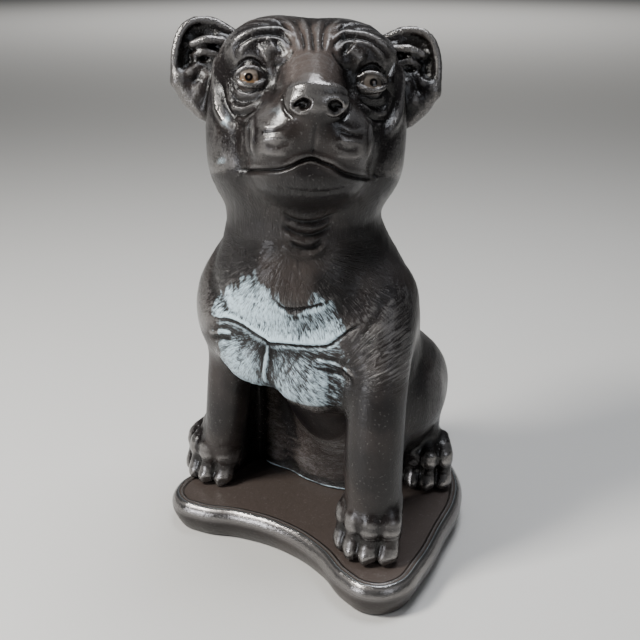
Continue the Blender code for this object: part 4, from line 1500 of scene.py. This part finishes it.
@dataclass(frozen=True)
class PaintedCastStone:
    """Cast reconstituted stone, brushed with satin garden paint and dry-brushed with silver.

    The paint fills the grit to a soft gloss that is never quite even: glossier where a little silver was
    rubbed on, and duller where the silver is palest. The silver catches only on what stands out, so the
    hair shows as pale strands over the brown-black of its grooves, and the paint is darkened further in
    the grooves and hollows as painted shade.
    """

    name: str = "Painted cast stone"
    body: str = "#161313"
    warm: str = "#433b37"
    # Near-black for the painted shade in grooves and hollows.
    hollow_shade: str = "#0b0908"
    # The pale silver paint; its blue-white on the bib also stands in for a painted sky reflection.
    silver: str = "#cfe6f1"
    pewter: str = "#7f7c7a"
    # Sand in cast stone is mostly finer than a pixel of the render, which is about 0.8 mm at the statue,
    # so the grit is drawn as coarse as it needs to show.
    grit_mm: float = 0.9
    blotch_mm: float = 38.0
    pit_mm: float = 5.0
    fleck_mm: float = 1.5
    scratch_depth_mm: float = 1.1
    grit_depth_mm: float = 0.22
    eyes: EyePaint = EyePaint()
    # The finest strands of the bib are too fine to show too, and are drawn a little coarser.
    fans: tuple[HairMarks, ...] = (
        HairMarks(Comb.BIB, (0.7, 6.0, 1.0), 1.5),
        HairMarks(Comb.BREAST, (0.7, 5.5, 1.0), 1.3),
        HairMarks(Comb.SHOULDER, (0.95, 8.0, 1.0), 0.8),
    )
    head_hair: HairMarks = HairMarks(Cover.HEAD_HAIR, (1.3, 7.0, 1.8), 0.4)
    body_hair: tuple[HairMarks, ...] = (
        HairMarks(Cover.COAT_HAIR, (1.2, 1.2, 7.0), 0.6),
        HairMarks(Cover.BELLY_HAIR, (3.2, 3.2, 0.8), 1.3),
    )
    # How far each kind of relief makes the surface stand out and take up silver.
    relief_stand: float = 0.75
    hollow_stand: float = 0.45
    hair_stand: float = 2.2
    grain_stand: float = 0.35
    # The paint's soft gloss, with a thin smoother film on it.
    ior: float = 1.36
    film: float = 0.12
    film_roughness: float = 0.15
    roughness: tuple[float, float] = (0.24, 0.5)
    rubbed_gloss: float = 0.17
    silver_dullness: float = 0.25
    eye_gloss: float = 0.12

    def hair(self, tree: bpy.types.NodeTree, place: Socket, head: Socket) -> Socket:
        """The height of all the hair's fine scratches.

        Args:
            tree: the material's nodes.
            place: the place on the piece, in metres.
            head: the place in the head, in figure units.

        Returns:
            The height's socket, zero where there is no hair.
        """
        layers = []
        for marks in self.fans:
            comb = add_node(tree, "ShaderNodeAttribute", output="Vector", attribute_name=marks.area.value)
            across, along, weight = add_node(tree, "ShaderNodeSeparateXYZ", {0: comb}).node.outputs
            flat = add_node(tree, "ShaderNodeCombineXYZ", {0: across, 1: along})
            layers.append((marks, flat, weight, 1.0))
        for marks, vector, unit in ((self.head_hair, head, 1.0),
                                    *((marks, place, 1000.0) for marks in self.body_hair)):
            weight = add_node(tree, "ShaderNodeAttribute", output="Fac", attribute_name=marks.area.value)
            layers.append((marks, vector, weight, unit))
        total: Socket | float = 0.0
        for marks, vector, weight, unit in layers:
            scale = tuple(unit / size for size in marks.size)
            spread = add_node(tree, "ShaderNodeMapping", {"Vector": vector, "Scale": scale})
            strands = add_node(tree, "ShaderNodeTexNoise",
                               {"Vector": spread, "Scale": 1.0, "Detail": 3.0, "Roughness": 0.6})
            height = add_node(tree, "ShaderNodeMapRange",
                              {0: strands, 3: -marks.strength / 2, 4: marks.strength / 2}, clamp=False)
            total = add_node(tree, "ShaderNodeMath", {0: height, 1: weight, 2: total},
                             operation="MULTIPLY_ADD")
        return total

    def paint(self, tree: bpy.types.NodeTree, blotch: Socket, sunk: Socket) -> Socket:
        """The colour of the paint before any silver, with painted shade in its hollows.

        Args:
            tree: the material's nodes.
            blotch: broad unevenness of the brushwork.
            sunk: how far the surface lies in a hollow, where the paint is darkened as painted shade.

        Returns:
            The colour's socket.
        """
        warm = add_node(tree, "ShaderNodeAttribute", output="Fac", attribute_name=Cover.WARM.value)
        patches = add_node(tree, "ShaderNodeMapRange", {0: blotch, 1: 0.42, 2: 0.68, 4: 0.3},
                           interpolation_type="SMOOTHSTEP")
        warmth = add_node(tree, "ShaderNodeMath", {0: warm, 1: patches}, operation="ADD", use_clamp=True)
        ground = add_node(tree, "ShaderNodeMix", {0: warmth, 6: linear(self.body), 7: linear(self.warm)}, 2,
                          data_type="RGBA")
        # Painted shade: the paint darkens towards near-black where it lies in a hollow.
        depth = add_node(tree, "ShaderNodeMapRange", {0: sunk, 2: 0.9, 4: 0.85},
                         interpolation_type="SMOOTHSTEP")
        return add_node(tree, "ShaderNodeMix", {0: depth, 6: ground, 7: linear(self.hollow_shade)}, 2,
                        data_type="RGBA")

    def caught(self, tree: bpy.types.NodeTree, stand: Socket, rubbed: Socket) -> Socket:
        """How much of the rubbed silver is caught, by how far the surface stands out.

        Args:
            tree: the material's nodes.
            stand: how far the surface stands out.
            rubbed: how hard the silver was rubbed on.

        Returns:
            The share's socket, from 0 to 1.
        """
        least = add_node(tree, "ShaderNodeMath", {0: rubbed, 1: 2.0, 2: -1.25}, operation="MULTIPLY_ADD")
        reached = add_node(tree, "ShaderNodeMath", {0: stand, 1: least}, operation="ADD")
        share = add_node(tree, "ShaderNodeMapRange", {0: reached, 1: -0.28, 2: 1.0},
                         interpolation_type="SMOOTHSTEP")
        touched = add_node(tree, "ShaderNodeMapRange", {0: rubbed, 2: 0.3}, interpolation_type="SMOOTHSTEP")
        return add_node(tree, "ShaderNodeMath", {0: share, 1: touched}, operation="MULTIPLY")

    def dullness(self, tree: bpy.types.NodeTree, blotch: Socket, rubbed: Socket, bright: Socket,
                 eyeball: Socket) -> Socket:
        """The roughness of the paint, and of the silver on it.

        Args:
            tree: the material's nodes.
            blotch: broad unevenness of the brushwork.
            rubbed: how hard the silver was rubbed on.
            bright: how far the silver is the pale kind, which is duller.
            eyeball: how far the surface is eyeball, which is glossier.

        Returns:
            The roughness's socket.
        """
        low, high = self.roughness
        dull = add_node(tree, "ShaderNodeMapRange", {0: blotch, 3: low, 4: high}, clamp=False)
        gloss = add_node(tree, "ShaderNodeMapRange", {0: rubbed, 1: 0.05, 2: 0.35, 4: -self.rubbed_gloss},
                         interpolation_type="SMOOTHSTEP")
        dull = add_node(tree, "ShaderNodeMath", {0: dull, 1: gloss}, operation="ADD")
        dull = add_node(tree, "ShaderNodeMath", {0: bright, 1: self.silver_dullness, 2: dull},
                        operation="MULTIPLY_ADD")
        return add_node(tree, "ShaderNodeMath", {0: eyeball, 1: -self.eye_gloss, 2: dull},
                        operation="MULTIPLY_ADD", use_clamp=True)

    def build(self) -> bpy.types.Material:
        """Make the paint.

        Returns:
            The material.
        """
        material = bpy.data.materials.new(self.name)
        material.use_nodes = True
        tree = material.node_tree
        shader = tree.nodes["Principled BSDF"]
        place = add_node(tree, "ShaderNodeTexCoord", output="Object")
        head = add_node(tree, "ShaderNodeAttribute", output="Vector", attribute_name="head_place")
        hair = self.hair(tree, place, head)
        grit, blotch, pits, flecks = (
            add_node(tree, "ShaderNodeTexNoise", {"Vector": place, "Scale": 1000 / size, "Detail": detail})
            for size, detail in ((self.grit_mm, 2.0), (self.blotch_mm, 3.0), (self.pit_mm, 2.0),
                                 (self.fleck_mm, 0.0)))
        relief, hollow, rubbed = (
            add_node(tree, "ShaderNodeAttribute", output="Fac", attribute_name=cover.value)
            for cover in (Cover.RELIEF, Cover.HOLLOW, Cover.SILVER))

        # The paint is darkened in the grooves and hollows as painted shade, and what stands out of them takes
        # up the silver.
        deeper = add_node(tree, "ShaderNodeMath", {0: hollow, 1: -0.75}, operation="MULTIPLY")
        sunk = add_node(tree, "ShaderNodeMath", {0: relief, 1: -0.7, 2: deeper}, operation="MULTIPLY_ADD")
        ground = self.paint(tree, blotch, sunk)
        broad = add_node(tree, "ShaderNodeMath", {0: hollow, 1: self.hollow_stand}, operation="MULTIPLY")
        stand = add_node(tree, "ShaderNodeMath", {0: relief, 1: self.relief_stand, 2: broad},
                         operation="MULTIPLY_ADD")
        stand = add_node(tree, "ShaderNodeMath", {0: hair, 1: self.hair_stand, 2: stand},
                         operation="MULTIPLY_ADD")
        grain = add_node(tree, "ShaderNodeMapRange", {0: grit, 3: -self.grain_stand, 4: self.grain_stand},
                         clamp=False)
        stand = add_node(tree, "ShaderNodeMath", {0: stand, 1: grain}, operation="ADD")
        caught = self.caught(tree, stand, rubbed)

        # Thinly rubbed silver shines as metal, and where it was rubbed on hard it is a pale duller paint.
        bare = add_node(tree, "ShaderNodeMapRange", {0: rubbed, 1: 0.72, 2: 0.46},
                        interpolation_type="SMOOTHSTEP")
        metallic = add_node(tree, "ShaderNodeMath", {0: caught, 1: bare}, operation="MULTIPLY")
        bright = add_node(tree, "ShaderNodeMapRange", {0: rubbed, 1: 0.5, 2: 0.6},
                          interpolation_type="SMOOTHSTEP")
        metal = add_node(tree, "ShaderNodeMix", {
            0: bright, 6: linear(self.pewter), 7: linear(self.silver)}, 2, data_type="RGBA")
        specks = add_node(tree, "ShaderNodeMapRange", {0: flecks, 1: 0.72, 2: 0.8, 4: 0.18},
                          interpolation_type="SMOOTHSTEP")
        colour = add_node(tree, "ShaderNodeMix", {0: specks, 6: ground, 7: linear(self.pewter)}, 2,
                          data_type="RGBA")
        colour = add_node(tree, "ShaderNodeMix", {0: caught, 6: colour, 7: metal}, 2, data_type="RGBA")

        eye = add_node(tree, "ShaderNodeAttribute", output="Vector", attribute_name=Cover.EYE.value)
        away, side, eyeball = add_node(tree, "ShaderNodeSeparateXYZ", {0: eye}).node.outputs
        rise = add_node(tree, "ShaderNodeSeparateXYZ", {0: head}, "Z")
        looks = self.eyes.colour(tree, away, side, rise)
        colour = add_node(tree, "ShaderNodeMix", {0: eyeball, 6: colour, 7: looks}, 2, data_type="RGBA")
        tree.links.new(colour, shader.inputs["Base Color"])
        tree.links.new(metallic, shader.inputs["Metallic"])
        tree.links.new(self.dullness(tree, blotch, rubbed, bright, eyeball), shader.inputs["Roughness"])
        shader.inputs["IOR"].default_value = self.ior
        shader.inputs["Coat Weight"].default_value = self.film
        shader.inputs["Coat Roughness"].default_value = self.film_roughness

        skin = add_node(tree, "ShaderNodeMath", {0: 1.0, 1: eyeball}, operation="SUBTRACT")
        scratches = add_node(tree, "ShaderNodeBump", {
            "Strength": skin, "Distance": self.scratch_depth_mm / 1000, "Height": hair})
        roughcast = add_node(tree, "ShaderNodeMath", {0: pits, 1: 2.0, 2: grit}, operation="MULTIPLY_ADD")
        tooth = add_node(tree, "ShaderNodeMath", {0: skin, 1: 0.8}, operation="MULTIPLY")
        surface = add_node(tree, "ShaderNodeBump", {
            "Strength": tooth, "Distance": self.grit_depth_mm / 1000, "Height": roughcast,
            "Normal": scratches})
        tree.links.new(surface, shader.inputs["Normal"])
        return material


@dataclass(frozen=True)
class PalePaper:
    """Matt backdrop paper, which takes the statue's shadow and gives no gloss."""

    name: str = "Matt backdrop paper"
    colour: str = "#c6c4c0"
    tooth_mm: float = 2.0

    def build(self) -> bpy.types.Material:
        """Make the paper.

        Returns:
            The material.
        """
        material = bpy.data.materials.new(self.name)
        material.use_nodes = True
        tree = material.node_tree
        shader = tree.nodes["Principled BSDF"]
        place = add_node(tree, "ShaderNodeTexCoord", output="Object")
        tooth = add_node(tree, "ShaderNodeTexNoise", {"Vector": place, "Scale": 1000 / self.tooth_mm})
        bump = add_node(tree, "ShaderNodeBump", {"Strength": 0.1, "Distance": 0.0001, "Height": tooth})
        shader.inputs["Base Color"].default_value = linear(self.colour)
        shader.inputs["Roughness"].default_value = 0.9
        tree.links.new(bump, shader.inputs["Normal"])
        return material


@dataclass(frozen=True)
class SoftLamp:
    """A square soft light, with its side in metres, its power in watts and its spread in degrees."""

    name: str
    place: Place
    size: float
    power: float
    colour: str
    aim: Place = (0.0, 0.0, 0.22)
    spread: float = 180.0

    def build(self) -> None:
        """Hang the light and turn it to its aim."""
        light = bpy.data.lights.new(self.name, "AREA")
        light.spread = radians(self.spread)
        light.size = self.size
        light.energy = self.power
        light.color = linear(self.colour)[:3]
        lamp = bpy.data.objects.new(self.name, light)
        lamp.location = self.place
        lamp.rotation_euler = (Vector(self.aim) - Vector(self.place)).to_track_quat("-Z", "Y").to_euler()
        bpy.context.scene.collection.objects.link(lamp)


@dataclass
class Studio:
    """Floor, soft lights and the camera at the photograph's viewing angle."""

    floor_size: float = 60.0
    camera_place: Place = (0.4012, -0.5068, 0.436)
    camera_turn: Place = (68.0, 0.0, 39.6)
    lens: float = 50.625
    sensor: float = 36.0
    sky: str = "#e6ebee"
    sky_strength: float = 0.09
    lamps: tuple[SoftLamp, ...] = (
        SoftLamp("key", (-0.45, -1.0, 1.25), 0.34, 38, "#fffdf8"),
        SoftLamp("low front", (-0.25, -1.35, 0.35), 0.4, 8, "#f6f8ff", aim=(-0.02, 0.0, 0.06)),
        SoftLamp("fill", (1.3, -0.35, 0.75), 0.6, 2.8, "#eef4ff"),
        SoftLamp("overhead", (0.06, 0.18, 1.5), 0.6, 20, "#f4f8ff"),
        SoftLamp("backdrop", (-4.0, 5.0, 4.0), 5.0, 120, "#ffffff", aim=(-4.0, 5.0, 0.0), spread=100.0),
    )

    def lay_floor(self) -> None:
        """Lay the pale floor and put it in the scene."""
        form = bmesh.new()
        bmesh.ops.create_grid(form, x_segments=2, y_segments=2, size=self.floor_size / 2)
        mesh = bpy.data.meshes.new("Floor")
        form.to_mesh(mesh)
        form.free()
        mesh.materials.append(PalePaper().build())
        floor = bpy.data.objects.new("floor", mesh)
        bpy.context.scene.collection.objects.link(floor)

    def light_sky(self) -> None:
        """Light the whole stage evenly and faintly."""
        world = bpy.data.worlds.new("Soft daylight")
        world.use_nodes = True
        background = world.node_tree.nodes["Background"]
        background.inputs["Color"].default_value = linear(self.sky)
        background.inputs["Strength"].default_value = self.sky_strength
        bpy.context.scene.world = world

    def set_camera(self) -> None:
        """Set the camera at the photograph's viewing angle."""
        camera = bpy.data.cameras.new("camera")
        camera.lens = self.lens
        camera.sensor_width = self.sensor
        holder = bpy.data.objects.new("camera", camera)
        holder.location = self.camera_place
        holder.rotation_euler = [radians(angle) for angle in self.camera_turn]
        bpy.context.scene.collection.objects.link(holder)
        bpy.context.scene.camera = holder

    def build(self) -> None:
        """Set the whole stage."""
        self.lay_floor()
        for lamp in self.lamps:
            lamp.build()
        self.light_sky()
        self.set_camera()


def main() -> None:
    """Build the statue and its studio, and say how large the visual model is."""
    logging.basicConfig(level=logging.INFO, format="%(message)s", force=True)
    figure = DogFigure()
    statue = StatueCasting(figure, PlinthForm(), Coat(figure)).cast()
    statue.data.materials.clear()
    statue.data.materials.append(PaintedCastStone().build())
    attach(statue, "root")
    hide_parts("dog_statue")
    LOG.info("%s: %d triangles", statue.name, len(statue.data.polygons))
    Studio().build()


if __name__ == "__main__":
    main()
